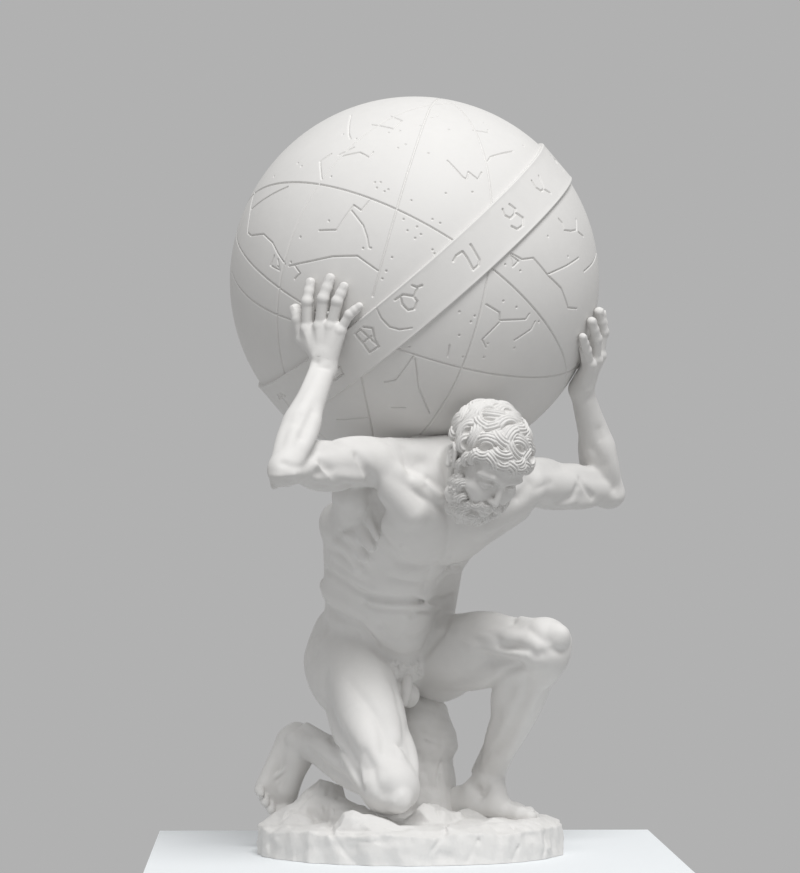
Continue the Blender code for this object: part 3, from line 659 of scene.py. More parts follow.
# Finger joints over the globe: azimuth, height and lift
RIGHT_HAND = {
    "index": ((-33.1, -15.8, 12), (-32.3, -8.3, 11), (-32.0, -2.9, 5)),
    "middle": ((-28.6, -15.3, 12), (-27.0, -7.6, 11), (-25.4, -1.9, 5)),
    "ring": ((-25.1, -15.4, 11.5), (-22.8, -8.5, 10), (-21.1, -4.4, 5)),
    "little": ((-22.4, -16.6, 11), (-19.5, -12.4, 8), (-16.6, -10.2, 5)),
    "thumb": ((-35.6, -19.0, 11), (-36.8, -13.5, 8), (-38.0, -10.6, 5.5)),
}
LEFT_HAND = {
    "index": ((88.7, -21.6, 12), (88.1, -15.2, 11), (86.2, -10.0, 5)),
    "middle": ((84.0, -21.8, 14), (81.9, -15.2, 11), (77.6, -9.8, 5)),
    "ring": ((79.7, -23.3, 14), (75.3, -17.6, 10.5), (70.6, -13.0, 5)),
    "little": ((76.1, -25.0, 12), (71.2, -21.6, 8), (66.5, -18.0, 4.6)),
    "thumb": ((94.5, -26.5, 9), (98.0, -22.5, 6.5), (100.0, -19.5, 5)),
}
FINGER_PAD = 4.5
FINGER_RADII = {"index": 5.5, "middle": 5.7, "ring": 5.4, "little": 4.8, "thumb": 6.4}


def hand(wrist, fingers):
    form = Form()
    joints = {name: [on_globe(*row) for row in rows] for name, rows in fingers.items()}
    for name in ("index", "middle", "ring", "little"):
        form.add(Cone(wrist, joints[name][0], 9.5, FINGER_RADII[name] + 1.4), 5)
    palm = (joints["index"][0] + joints["little"][0]) / 2
    form.add(Cone(wrist + (palm - wrist) * 0.35, joints["thumb"][0], 9.5, 7), 5)
    for name, row in joints.items():
        radius = FINGER_RADII[name]
        outward = unit(row[0] - globe_centre)
        inwards = unit(globe_centre - row[1]) * FINGER_PAD
        form.add(Cone(row[0] + inwards, row[1] + inwards, radius - 0.9, radius - 1.3), 2)
        form.add(Cone(row[0], row[1], radius - 0.2, radius - 0.5), 1.6)
        form.add(Cone(row[1], row[2], radius - 0.3, radius - 0.9), 1.2)
        form.add(Cone(row[1], row[1], radius - 0.25, radius - 0.25), 2)
        middle = row[1] + (row[2] - row[1]) * 0.52
        form.add(Cone(middle, middle, radius - 0.5, radius - 0.5), 1.5)
        if name != "thumb":
            form.add(Cone(row[0] + outward * 2.4, row[0] + outward * 2.4, 4.6, 4.6), 2)
            form.add(Cone(wrist + outward * 6 + (row[0] - wrist) * 0.2, row[0] + outward * 5.2, 1.7, 1.6), 2.2)
        nail(form, row[1], row[2], radius)
    return form.close()


def nail(form, knuckle, tip, radius):
    along = unit(tip - knuckle)
    outward = unit(tip - globe_centre)
    axes = square(along, outward)
    base = tip + axes[1] * (radius - 1.5) - along * 0.5
    form.add(Egg(base, axes, (radius * 0.72, 0.9, radius * 0.55)), 0.5)


# Toe joints: along the foot, towards the big toe, up, and the radius at the end
TOES = (
    ((84, 13, 10), (100, 14, 9), (110, 13, 8), 8.0),
    ((87, 3, 10), (101, 4, 11), (110, 5, 7), 5.3),
    ((84, -4, 9), (97, -4, 10.5), (105, -3, 6.5), 5.1),
    ((80, -11, 8), (91, -12, 9.5), (99, -11, 6), 4.9),
    ((74, -18, 7.5), (84, -20, 8.5), (91, -19, 5.5), 4.7),
)


def foot(ankle, heel, along, up, inner, toes_along=None):
    """A foot from the ground under its heel. Tucked toes turn to toes_along."""
    form = Form()
    along, up, _ = square(along, up)
    inwards = np.cross(along, up) * inner
    axes = np.array([along, inwards, up])

    def at(forward, inward, high):
        return heel + along * forward + inwards * inward + up * high

    form.add(Egg(at(17, 0, 15), axes, (18, 14, 16)), 6)
    form.add(Cone(ankle, at(34, 1, 24), 13.5, 14.5), 7)
    form.add(Cone(ankle + along * 2, at(68, 6, 17), 13, 10.5), 8)
    form.add(Cone(at(20, 3, 13), at(80, 12, 11), 12, 10), 7)
    form.add(Cone(at(20, -6, 10), at(70, -17, 8), 10, 7.2), 7)
    form.add(Egg(at(74, -1, 11), axes, (16, 21, 8.5)), 6)
    for root, knuckle, tip, radius in TOES:
        row = [at(*root), at(*knuckle), at(*tip)]
        way = along
        top = up
        if toes_along is not None:
            start = at(root[0], root[1], root[2] * 0.6)
            way, top = toes_along, -along
            row = [start]
            for joint in (knuckle, tip):
                ahead = joint[0] - root[0]
                dip = along * (4 - (joint[2] - 8) * 0.4) * ahead / 26
                row.append(start + toes_along * ahead + inwards * (joint[1] - root[1]) + dip)
        form.add(Cone(row[0], row[1], radius, radius), 2.5)
        form.add(Cone(row[1], row[2], radius, radius * 0.88), 1.6)
        sinew = at(48, root[1] * 0.45 + 2, 26)
        form.add(Cone(sinew, row[0] + up * (radius - 2), 1.6, 2.0), 3)
        axes_here = square(way, top)
        form.add(Egg(row[2] + axes_here[1] * (radius * 0.88 - 1.1) + way * 1.0, axes_here,
                     (radius * 0.6, 0.9, radius * 0.5)), 0.5)
    return form.close()


def left_foot():
    return foot(ANKLE_L, point(36, 52, 31), point(101, -80, -3), point(0, 0, 1), 1)


def right_foot():
    sole = unit((-0.646, 0.76, -0.077))
    down = unit((-0.24, -0.30, -0.87))
    return foot(ANKLE_R, ANKLE_R + sole * 31 - down * 22, down, -sole, -1, unit((0.15, -0.8, -0.1)))


class GlobeSeat:
    """The globe with its belt, grown by the seat gap, which the figure makes room for."""

    def __init__(self):
        self.centre, self.reach = globe_centre, globe_radius + belt_rise + 2

    def distance(self, p):
        away = p - globe_centre
        off_belt = np.abs(away @ BELT_AXIS)
        rise = belt_rise * np.clip(belt_half + 1.5 - off_belt, 0, 1)
        return np.sqrt((away * away).sum(1)) - (globe_radius + rise) - seat_gap


# Lines of the muscles and folds: width, depth, then points in the block's or the limb's own directions. A negative
# depth raises the line.
CHEST_LINES = (
    (4, 4.5, ((-117, 12, 12), (-106, 18, 3), (-89, 16, -13), (-64, 7, -40), (-59, 16, -49))),
    (4.5, 3, ((-58, 18, -52), (-43, 32, -71), (-30, 38, -81), (-20, 41, -85))),
    (3, 2.4, ((-24, 39, -85), (-4, 44, -82), (16, 42, -80), (49, 24, -95), (80, 9, -111))),
    (3, 2.2, ((-65, 7, -47), (-68, 7, -64), (-70, 6, -76), (-73, 2, -87))),
    (4.5, -2.2, ((-72, 3, -86), (-64, 12, -85), (-55, 28, -80))),
    (4.5, -2.4, ((-72, 5, -100), (-62, 13, -101), (-44, 23, -102))),
    (4.5, -2.4, ((-61, -5, -123), (-52, 8, -121), (-40, 23, -118))),
    (5, -2.0, ((-54, -1, -136), (-43, 16, -132), (-28, 32, -129))),
    (4, 2.0, ((-36, 27, 0), (-24, 36, -9), (-4, 38, -21), (7, 48, -41), (22, 41, -76))),
    (5, 2.2, ((-55, -9, 12), (-52, 1, 6), (-53, 15, 4))),
    (7, 2.2, ((-40, 4, 10),)),
    (3, 1.8, ((-34, 18, 3), (-21, 29, 1))),
    (2.2, -1.2, ((-36, 38, -63),)),
    (4.5, 1.0, ((-23, 40, -104), (13, 45, -101), (72, 14, -114))),
    (4, 1.0, ((12, 43, -88), (18, 45, -110))),
)
WAIST_LINES = (
    (3.2, 4.5, ((-89, 19, 87), (-87, 29, 87), (-74, 46, 81), (-59, 59, 76), (-47, 71, 77), (-23, 79, 79),
        (30, 34, 66), (44, 32, 70))),
    (4.5, -2, ((-56, 57, 69), (-41, 71, 71), (-20, 77, 73), (32, 33, 61))),
    (2.6, 3, ((-58, 54, 67), (-50, 59, 64), (-38, 70, 66), (-18, 75, 67), (19, 48, 61), (35, 32, 63))),
    (2.2, 4, ((-15, 73, 62),)),
    (8, -3, ((-79, 8, 63), (-70, 33, 60), (-56, 46, 53), (-41, 51, 40))),
    (3.6, 4.5, ((-73, 1, 47), (-68, 19, 44), (-57, 35, 41), (-47, 43, 36), (-33, 46, 19), (-24, 50, 15))),
    (3.6, 4, ((-24, 50, 14), (-7, 55, 13), (1, 56, 15), (14, 53, 18), (23, 57, 35), (29, 58, 47),
        (41, 41, 54))),
    (4, 1.2, ((-39, 57, 46), (-25, 60, 35), (-8, 63, 35), (12, 56, 43))),
)
THIGH_R_LINES = (
    (5, 3, ((0.03, 39, -9), (-0.02, 39, -7), (-0.05, 38, 4), (-0.06, 36, 14))),
    (6, 2, ((0.20, 37, -3), (0.24, 34, -14), (0.31, 30, -17), (0.49, 31, -14), (0.68, 33, -2),
        (0.80, 31, 4))),
    (5, 1.6, ((0.36, 32, 22), (0.50, 27, 27), (0.64, 19, 29), (0.75, 15, 26), (0.85, 16, 22))),
    (4, 1.4, ((0.40, -11, 34), (0.56, -8, 35), (0.68, -12, 28), (0.84, -7, 27))),
    (6, 1.2, ((0.08, 20, 37), (0.18, 26, 27))),
    (4.5, 2.6, ((0.83, 30, 10), (0.92, 25, 10), (1.02, 26, 9), (1.08, 19, 6))),
    (8, 2, ((1.08, 16, 10),)),
    (4, -2, ((0.86, 25, -3), (0.97, 27, -3))),
    (6, -1.5, ((1.13, 10, 9), (1.12, 5, 15))),
    (2.5, 3.5, ((0.39, 7, -53), (0.68, 29, -20), (0.85, 26, -14), (0.98, 27, -8))),
)
SHANK_R_LINES = (
    (4, 1.5, ((0.63, 17, 3), (0.56, 12, 14))),
)
THIGH_L_LINES = (
    (4, 3, ((0.79, -30, 15), (0.84, -29, 7), (0.94, -27, 4), (1.01, -27, 1), (1.04, -25, -5),
        (1.07, -22, -5))),
    (5, -1.5, ((0.91, -29, 0), (0.99, -28, -4))),
    (5, 2, ((0.97, -16, 21), (1.05, -20, 13), (1.09, -16, 6))),
    (4, 2, ((1.10, -13, -3), (1.12, -3, -7))),
    (8, 1.5, ((0.54, -27, 21), (0.67, -32, 8), (0.70, -26, -10))),
    (6, 1.2, ((0.49, -21, 29), (0.66, -23, 23), (0.81, -29, 16))),
)
SHANK_L_LINES = (
    (2.5, 3.5, ((0.12, -25, -2), (0.19, -26, -11), (0.29, -27, -19), (0.40, -22, -28))),
    (4.5, 1.8, ((0.17, -21, 7), (0.31, -15, 9), (0.47, -15, 9), (0.64, -13, 7), (0.76, -14, 4))),
    (4, 1.2, ((0.83, -14, -4), (0.69, -15, 3))),
    (4, 2, ((1.01, -20, 7), (1.02, -21, 14), (0.97, -18, 14))),
    (6, -2, ((0.94, -15, 4),)),
)
UPPER_R_LINES = (
    (5, 2.4, ((0.72, -17, -1), (0.64, -16, -8), (0.61, -16, -15), (0.50, -13, -20), (0.23, 2, -21))),
    (3, -1.6, ((0.78, -16, -2), (0.67, -15, -14))),
    (5, 2, ((0.77, -14, -9),)),
    (5, 1.5, ((0.62, -1, -19), (0.84, -4, -15), (1.07, -8, -12))),
    (3, -1.2, ((1.11, 6, -6), (1.11, -4, -8), (1.04, -14, -10))),
)
FORE_R_LINES = (
    (4, 2.4, ((-0.05, -9, -10), (-0.04, -16, -2), (0.03, -17, 8), (0.14, -16, 13), (0.26, -12, 16))),
    (4, 2, ((0.48, -16, -6), (0.36, -16, -7), (0.22, -15, -6))),
    (4, 1, ((0.39, -11, -14), (0.32, -9, -14))),
    (2.5, 0.9, ((0.92, -6, -10), (0.94, -11, -4))),
    (4, -1.2, ((1.01, 2, -16),)),
    (3, 1.2, ((0.96, -2, -13),)),
)
UPPER_L_LINES = (
    (3.5, 2.4, ((0.03, -17, -17), (0.20, -13, -18), (0.32, -17, -13), (0.40, -18, -7), (0.43, -19, 1))),
    (5, 2.4, ((-0.17, -13, -14), (-0.14, -16, -6), (-0.12, -18, 0))),
    (4, 1, ((-0.07, -22, -4), (0.03, -23, 1), (0.11, -21, 3))),
    (5, 1, ((0.38, -9, -21), (0.48, -17, -16))),
    (5, -1.5, ((0.93, -16, -7),)),
    (4, 1.5, ((0.89, -16, 3),)),
)
FORE_L_LINES = (
    (2.5, 3, ((0.40, -16, 52), (0.31, -18, 51), (0.19, -16, 43))),
    (4, 2, ((0.49, -7, 15), (0.41, -10, 14), (0.34, -12, 13))),
    (5, 1.5, ((0.39, -3, 26),)),
    (4, 1.2, ((0.64, -13, 5), (0.57, -14, 7))),
    (4, -2, ((1.02, -12, 5),)),
    (3, 1.5, ((0.94, -11, 4),)),
)
BACK_LINES = (
    (7, 4.0, ((0, -50, 0), (0, -52, -40), (0, -50, -80), (0, -44, -120))),
    (6, 2.5, ((18, -48, 0), (26, -52, -25), (40, -46, -55), (58, -30, -66))),
    (6, -2.0, ((16, -44, 8), (38, -40, 10), (62, -26, 14))),
    (6, 1.6, ((30, -44, -100), (46, -34, -80), (66, -14, -62))),
    (7, -1.8, ((12, -46, -70), (13, -44, -120))),
)
SEAT_LINES = (
    (6, 6.0, ((0, -44, 26), (0, -54, 4), (0, -50, -18), (0, -36, -40))),
    (6, 2.0, ((0, -40, 60), (0, -44, 40), (0, -46, 26))),
    (6, 1.5, ((16, -46, 44),)),
    (6, 1.5, ((-16, -46, 44),)),
    (9, 2.5, ((58, -22, 2), (62, -12, 14))),
    (9, 2.5, ((-58, -22, 2), (-62, -12, 14))),
    (6, 2.5, ((-14, -52, -36), (-36, -48, -38), (-58, -34, -34))),
)
CALF_LINES = (
    (5, 2.2, ((0.10, 0, -30), (0.30, 0, -28), (0.50, 0, -24))),
    (5, 1.6, ((0.52, -10, -22), (0.60, 0, -22), (0.52, 10, -22))),
    (4, 1.6, ((0.15, 16, 4), (0.45, 14, 2), (0.80, 10, -2))),
)


CARVING_DEPTH = 1.9
LIMB_DEPTH = 1.3


def lines_in(frame, rows, mirrored=False, deepen=CARVING_DEPTH):
    sign = -1 if mirrored else 1
    return [(width, depth * deepen, np.array([frame.at(a * sign, b, c) for a, b, c in row]))
            for width, depth, row in rows]


def muscle_lines(bones):
    lines = lines_in(CHEST, CHEST_LINES) + lines_in(PELVIS, WAIST_LINES)
    lines += lines_in(CHEST, BACK_LINES) + lines_in(CHEST, BACK_LINES[1:5], True) + lines_in(PELVIS, SEAT_LINES)
    for name, tables in (("leg_r", (THIGH_R_LINES, SHANK_R_LINES)), ("leg_l", (THIGH_L_LINES, SHANK_L_LINES)),
                         ("arm_r", (UPPER_R_LINES, FORE_R_LINES)), ("arm_l", (UPPER_L_LINES, FORE_L_LINES))):
        for bone, table in zip(bones[name], tables):
            lines += lines_in(bone, table, deepen=LIMB_DEPTH)
    for name in ("leg_r", "leg_l"):
        lines += lines_in(bones[name][1], CALF_LINES, deepen=LIMB_DEPTH)
    return lines


def body():
    form = Form()
    bones = limbs()
    form.add(torso(), 1)
    for name in ("leg_r", "leg_l"):
        form.add(leg(*bones[name]), 7)
    for name in ("arm_r", "arm_l"):
        form.add(arm(*bones[name]), 6)
    form.add(groin(), 3)
    form.add(neck(), 6)
    form.add(hand(WRIST_R, RIGHT_HAND), 5)
    form.add(hand(WRIST_L, LEFT_HAND), 5)
    form.add(left_foot(), 5)
    form.add(right_foot(), 5)
    form.press(muscle_lines(bones))
    form.cut(GlobeSeat(), 0.4)
    return form


def head():
    form = Form()
    form.add(face(), 1)
    form.add(beard(), 0.8)
    form.add(hair(), 0.8)
    form.cut(GlobeSeat(), 0.4)
    return form


# The rock: the chipped rim as azimuth, share of the base radius and lean of each face
RIM_FACES = (
    (0, 1.0, 0.10), (24, 0.985, 0.16), (47, 0.99, 0.05), (70, 0.985, 0.12), (92, 0.99, 0.08), (116, 0.98, 0.18),
    (140, 0.985, 0.06), (165, 0.98, 0.14), (190, 0.985, 0.08), (214, 0.98, 0.16), (238, 0.99, 0.06),
    (262, 0.985, 0.12), (284, 0.99, 0.08), (308, 0.985, 0.18), (333, 0.995, 0.06),
)
TOP_CHIPS = ((-62, 0.42, 0.90), (-30, 0.30, 0.93), (8, 0.36, 0.94), (38, 0.26, 0.93), (72, 0.34, 0.95),
             (118, 0.30, 0.92), (160, 0.36, 0.94), (205, 0.28, 0.92), (250, 0.40, 0.93))
UNDERCUT = 6.0


def around(azimuth):
    a = math.radians(azimuth)
    return point(math.sin(a), -math.cos(a), 0)


def boulder(centre, size, sides, seed):
    """A block with flat sides all round an egg of this half size."""
    draw = np.random.default_rng(seed)
    centre, size = np.asarray(centre, float), np.asarray(size, float)
    planes = []
    for i in range(sides):
        height = 1 - (2 * i + 1) / sides
        turn = i * GOLDEN_TURN + draw.uniform(-0.35, 0.35)
        flat = math.sqrt(1 - height * height)
        normal = unit((math.cos(turn) * flat, math.sin(turn) * flat, height))
        planes.append((normal, normal @ centre + np.linalg.norm(normal * size) * draw.uniform(0.86, 0.98)))
    block = Rock(planes, centre, min(size[0], size[1]) * 0.8, size[2] * 1.6)
    block.reach = max(size) * 1.5
    return block


# Boulders as centre and half size, sunk in the block
BOULDERS = (
    ((-30, -90, 12), (58, 52, 27)), ((-84, 30, 30), (26, 34, 37)), ((22, -22, 24), (30, 36, 24)),
    ((76, 26, 14), (56, 48, 22)), ((-112, 12, 14), (34, 50, 21)), ((92, -56, 12), (44, 46, 18)),
    ((0, 100, 14), (50, 46, 22)), ((-62, 88, 14), (44, 42, 19)), ((56, 92, 12), (42, 40, 19)),
)
SCOOPS = 19
# Cracks and grooves as width, depth and points
CRACKS = (
    (1.7, 3.6, ((35, 5, 46), (26, -20, 42), (25, -40, 36), (33, -75, 33), (32, -136, 29), (20, -148, 14), (17, -148, 2))),
    (2.4, 3.4, ((-80, -26, 34), (-76, -80, 32), (-74, -128, 28), (-66, -137, 14), (-56, -140, 3))),
    (1.5, 1.9, ((-70, -112, 33), (-42, -120, 33), (-14, -124, 33))),
    (1.5, 1.7, ((-68, -120, 30), (-44, -128, 30), (-18, -132, 30))),
    (1.4, 1.6, ((-66, -127, 27), (-46, -135, 27), (-22, -139, 27))),
    (1.4, 1.5, ((-60, -134, 22), (-44, -141, 22), (-24, -145, 22))),
    (1.8, 2.4, ((-86, 22, 66), (-102, 6, 48), (-128, -22, 35))),
    (1.8, 2.2, ((-80, 12, 62), (-92, -10, 44), (-112, -44, 34))),
    (1.8, 2.2, ((-70, 0, 56), (-80, -24, 42), (-98, -62, 34))),
    (2.2, 3.0, ((118, -60, 28), (131, -72, 18), (128, -80, 5))),
    (2.2, 2.8, ((96, -84, 29), (102, -108, 14), (96, -112, 3))),
    (1.9, 2.4, ((60, -100, 28), (64, -132, 22), (54, -139, 4))),
    (1.9, 1.5, ((12, 28, 114), (24, 26, 109), (37, 34, 111))),
    (1.9, 1.5, ((14, 28, 105), (27, 26, 101), (39, 36, 104))),
    (2.2, 2.2, ((31, 28, 84), (27, 24, 66), (33, 22, 46))),
    (2.0, 2.4, ((-130, 60, 28), (-128, 72, 16), (-132, 66, 4))),
    (2.0, 2.6, ((-70, 130, 28), (-76, 128, 14), (-70, 131, 4))),
    (2.2, 2.8, ((30, 110, 30), (36, 140, 24), (30, 144, 4))),
    (2.0, 2.6, ((120, 60, 28), (128, 66, 16), (122, 72, 4))),
    (1.9, 1.8, ((-18, 108, 104), (-6, 111, 88), (-14, 112, 60))),
    (1.9, 1.8, ((22, 102, 98), (14, 108, 74), (20, 108, 50))),
)


def rock():
    form = Form()
    planes = []
    for azimuth, share, lean in RIM_FACES:
        normal = around(azimuth) * math.cos(lean) + point(0, 0, math.sin(lean))
        planes.append((normal, unit(normal) @ around(azimuth) * base_radius * share))
    for azimuth, lean, share in TOP_CHIPS:
        normal = around(azimuth) * math.sin(lean) + point(0, 0, math.cos(lean))
        edge = around(azimuth) * base_radius * share + point(0, 0, base_height)
        planes.append((normal, unit(normal) @ edge))
    planes.append(((-0.03, 0.0, 1.0), base_height + 2.5))
    planes.append(((0.0, 0.0, -1.0), UNDERCUT))
    form.add(Rock(planes, (0, 0, (base_height - UNDERCUT) / 2), base_radius, base_height + UNDERCUT), 1)
    for i, (centre, size) in enumerate(BOULDERS):
        form.add(boulder(centre, size, 22, i), 2.5)
    form.add(Cone((-84, 32, 42), (-44, -46, 26), 17, 18), 6)
    form.add(Cone((-130, -4, 16), (-90, 26, 44), 18, 17), 6)
    draw = np.random.default_rng(5)
    for i in range(SCOOPS):
        azimuth = (i + draw.uniform(0.2, 0.8)) * 360 / SCOOPS
        wide, tall, deep = draw.uniform(15, 27), draw.uniform(9, 16), draw.uniform(2.0, 5.0)
        out = around(azimuth)
        axes = np.stack([out, np.cross((0, 0, 1), out), (0, 0, 1)])
        centre = out * (base_radius + 12 - deep) + point(0, 0, draw.uniform(8, 26))
        form.cut(Egg(centre, axes, (12, wide, tall)), 1.0)
    around_base = Rock([(around(a), base_radius - 0.5) for a in range(0, 360, 9)], (0, 0, 0), 1, 1)
    form.cut(Outside(around_base, (0, 0, 20), base_radius + 30), 0.5)
    form.add(Cone((8, 62, 20), (6, 58, 120), 40, 33), 6)
    form.add(Cone((24, 40, 24), (14, 44, 62), 24, 22), 5)
    form.add(Cone((-14, 84, 24), (-8, 78, 90), 28, 22), 5)
    form.add(Egg((26, 48, 104), np.eye(3), (19, 20, 26)), 4)
    form.press([(width, depth, np.array(row, float)) for width, depth, row in CRACKS])
    form.strokes.append(Hewn((0, 0, 10), base_radius * 1.1, 9, 0.085, 3))
    return form


class Outside:
    """Everything beyond a block, used to trim what sticks out of it."""

    def __init__(self, inside, centre, reach):
        self.inside = inside
        self.centre, self.reach = np.asarray(centre, float), reach

    def distance(self, p):
        return -self.inside.distance(p)


# Meshes
def coordinates(mesh):
    flat = np.empty(len(mesh.vertices) * 3, np.float32)
    mesh.vertices.foreach_get("co", flat)
    return flat.reshape(-1, 3).astype(float)


def settle(mesh, form, rounds, most):
    """Moves every point along its normal, most millimetres at a time, until it lies on the form's surface."""
    for _ in range(rounds):
        normals = np.empty(len(mesh.vertices) * 3, np.float32)
        mesh.vertices.foreach_get("normal", normals)
        normals = normals.reshape(-1, 3).astype(float)
        points = coordinates(mesh)
        gap = form.distance(points)
        slope = np.clip((form.distance(points + normals * 0.1) - gap) / 0.1, 0.4, 1.5)
        points -= normals * np.clip(gap / slope, -most, most)[:, None]
        mesh.vertices.foreach_set("co", points.astype(np.float32).ravel())
        mesh.update()


def apply_modifier(obj, kind, **settings):
    modifier = obj.modifiers.new(kind, kind)
    for name, value in settings.items():
        setattr(modifier, name, value)
    graph = bpy.context.evaluated_depsgraph_get()
    mesh = bpy.data.meshes.new_from_object(obj.evaluated_get(graph))
    obj.modifiers.clear()
    old = obj.data
    obj.data = mesh
    bpy.data.meshes.remove(old)


def keep_largest(mesh):
    """Drops every loose scrap and inner bubble, so that one shell is left."""
    bm = bmesh.new()
    bm.from_mesh(mesh)
    left = set(bm.verts)
    shells = []
    while left:
        shell = [left.pop()]
        for vert in shell:
            for edge in vert.link_edges:
                other = edge.other_vert(vert)
                if other in left:
                    left.discard(other)
                    shell.append(other)
        shells.append(shell)
    shells.sort(key=len)
    for shell in shells[:-1]:
        bmesh.ops.delete(bm, geom=shell, context="VERTS")
    if len(shells) > 1:
        bm.to_mesh(mesh)
    bm.free()


def clay(form):
    """Rough balls on every mass, as one mesh."""
    ball = bpy.data.meshes.new("ball")
    bm = bmesh.new()
    bmesh.ops.create_icosphere(bm, subdivisions=2, radius=1.0)
    bm.to_mesh(ball)
    bm.free()
    bm = bmesh.new()
    for matrix in form.blanks():
        placed = ball.copy()
        placed.transform(matrix)
        bm.from_mesh(placed)
        bpy.data.meshes.remove(placed)
    bpy.data.meshes.remove(ball)
    return bm


def triangle_count(mesh):
    return sum(len(face.vertices) - 2 for face in mesh.polygons)


def carve(name, form, fine, triangles, blanks=None):
    """The form as one mesh object, in figure units. Where blanks is given, only the part round it is made."""
    mesh = bpy.data.meshes.new(name)
    bm = clay(blanks or form)
    bm.to_mesh(mesh)
    bm.free()
    obj = bpy.data.objects.new(name, mesh)
    bpy.context.scene.collection.objects.link(obj)
    apply_modifier(obj, "REMESH", mode="VOXEL", voxel_size=fine * 2.2)
    keep_largest(obj.data)
    settle(obj.data, form, 4, fine * 2.2)
    apply_modifier(obj, "REMESH", mode="VOXEL", voxel_size=fine)
    keep_largest(obj.data)
    settle(obj.data, form, 4, fine * 1.1)
    thin_out(obj, triangles)
    return obj


def thin_out(obj, triangles):
    total = triangle_count(obj.data)
    if total > triangles:
        apply_modifier(obj, "DECIMATE", ratio=triangles / total, use_collapse_triangulate=True)


def share_of(whole, name, place, way, owned):
    """A copy of the mesh that keeps the faces it owns, parted along a plane and closed there."""
    bm = bmesh.new()
    bm.from_mesh(whole)
    everything = bm.verts[:] + bm.edges[:] + bm.faces[:]
    bmesh.ops.bisect_plane(bm, geom=everything, plane_co=place, plane_no=way)
    middles = np.array([face.calc_center_median() for face in bm.faces])
    kept = owned((middles - place) @ way > 0, middles)
    bmesh.ops.delete(bm, geom=[face for face, own in zip(bm.faces, kept) if not own], context="FACES")
    rim = [edge for edge in bm.edges if edge.is_boundary]
    bmesh.ops.holes_fill(bm, edges=rim)
    for edge in rim:
        edge.smooth = False
    mesh = bpy.data.meshes.new(name)
    bm.to_mesh(mesh)
    bm.free()
    obj = bpy.data.objects.new(name, mesh)
    bpy.context.scene.collection.objects.link(obj)
    return obj


def within(middles, centre, reach):
    away = middles - centre
    return (away * away).sum(1) < reach * reach


def finish_mesh(obj, level=False):
    """Cuts the underside flat where the piece rests, when level is set, and turns the piece to metres."""
    bm = bmesh.new()
    bm.from_mesh(obj.data)
    if level:
        everything = bm.verts[:] + bm.edges[:] + bm.faces[:]
        cut = bmesh.ops.bisect_plane(bm, geom=everything, plane_co=(0, 0, 0), plane_no=(0, 0, 1), clear_inner=True)
        rim = [item for item in cut["geom_cut"] if isinstance(item, bmesh.types.BMEdge)]
        bmesh.ops.holes_fill(bm, edges=rim)
        for edge in rim:
            edge.smooth = False
        bmesh.ops.triangulate(bm, faces=bm.faces[:])
    bmesh.ops.recalc_face_normals(bm, faces=bm.faces[:])
    bm.to_mesh(obj.data)
    bm.free()
    obj.data.transform(Matrix.Scale(UNIT, 4))
    obj.data.polygons.foreach_set("use_smooth", [True] * len(obj.data.polygons))
    obj.data.update()


# The globe's engraving, as seen from the front: hundredths of the globe's radius to the right of its centre and
# above it. A third value of -1 puts the point behind.
CIRCLES = (
    ((-77, 49), (-9, 32), (81, -48)),
    ((-14, -38), (26, -50), (84, -49)),
    ((25, 89), (40, 36), (1, -86)),
    ((-29, 72), (-60, 30), (-70, -47)),
)
ARCS = (
    ((8, 90), (-6, 45), (-22, -13)),
    ((-29, -49), (-26, -65), (-22, -83)),
    ((-98, 4), (-87, -12), (-65, -24)),
    ((-99, 18), (-97, -3), (-87, -27)),
    ((8, 90), (14, 10, -1), (-22, -83)),
    ((20, 95, -1), (-62, 10, -1), (-50, -70, -1)),
    ((30, 88, -1), (78, 0, -1), (40, -80, -1)),
)
FIGURES = (
    ((-86, 47), (-88, 34), (-89, 24), (-87, 22), (-80, 22), (-75, 17), (-72, 11), (-68, 5)),
    ((-87, 37), (-79, 42), (-67, 47)),
    ((-66, 4), (-54, 6), (-43, 8), (-30, 8), (-26, 5), (-19, 0)),
    ((-50, 22), (-41, 22), (-32, 35), (-28, 32), (-23, 38)),
    ((-33, 32), (-27, 24), (-25, 18), (-24, 12)),
    ((-49, 50), (-50, 60), (-44, 64)),
    ((-39, 62), (-29, 64), (-24, 61), (-22, 64)),
    ((-40, 63), (-32, 67)),
    ((-34, 72), (-35, 75), (-35, 80), (-34, 87)),
    ((-23, 80), (-18, 79), (-11, 77), (-7, 82), (-13, 85)),
    ((-74, 10), (-76, 5), (-71, 2), (-72, 8)),
    ((-63, 4), (-60, 0), (-63, -3)),
    ((17, 59), (25, 50), (27, 49), (28, 53), (33, 49), (35, 53)),
    ((38, 59), (40, 62), (52, 66)),
    ((31, 77), (39, 76), (39, 78)),
    ((76, 30), (78, 28), (79, 24), (83, 24), (86, 25), (86, 31)),
    ((87, 24), (90, 22)),
    ((50, 10), (56, 7), (62, 8), (70, -1), (77, -7), (81, -17), (86, -17)),
    ((70, 0), (80, 5), (87, 10)),
    ((90, 3), (95, 8), (98, 15)),
    ((50, 10), (51, 3), (54, 6), (50, 9)),
    ((37, -17), (44, -21), (44, -25), (58, -24), (60, -21)),
    ((44, -26), (35, -35), (37, -39)),
    ((63, -25), (61, -29), (52, -35)),
    ((-1, -44), (-10, -56), (-16, -57)),
    ((0, -45), (2, -60), (8, -73)),
    ((-12, -70), (-5, -70)),
    ((-41, -76), (-25, -75)),
    ((18, -38), (17, -44)),
)
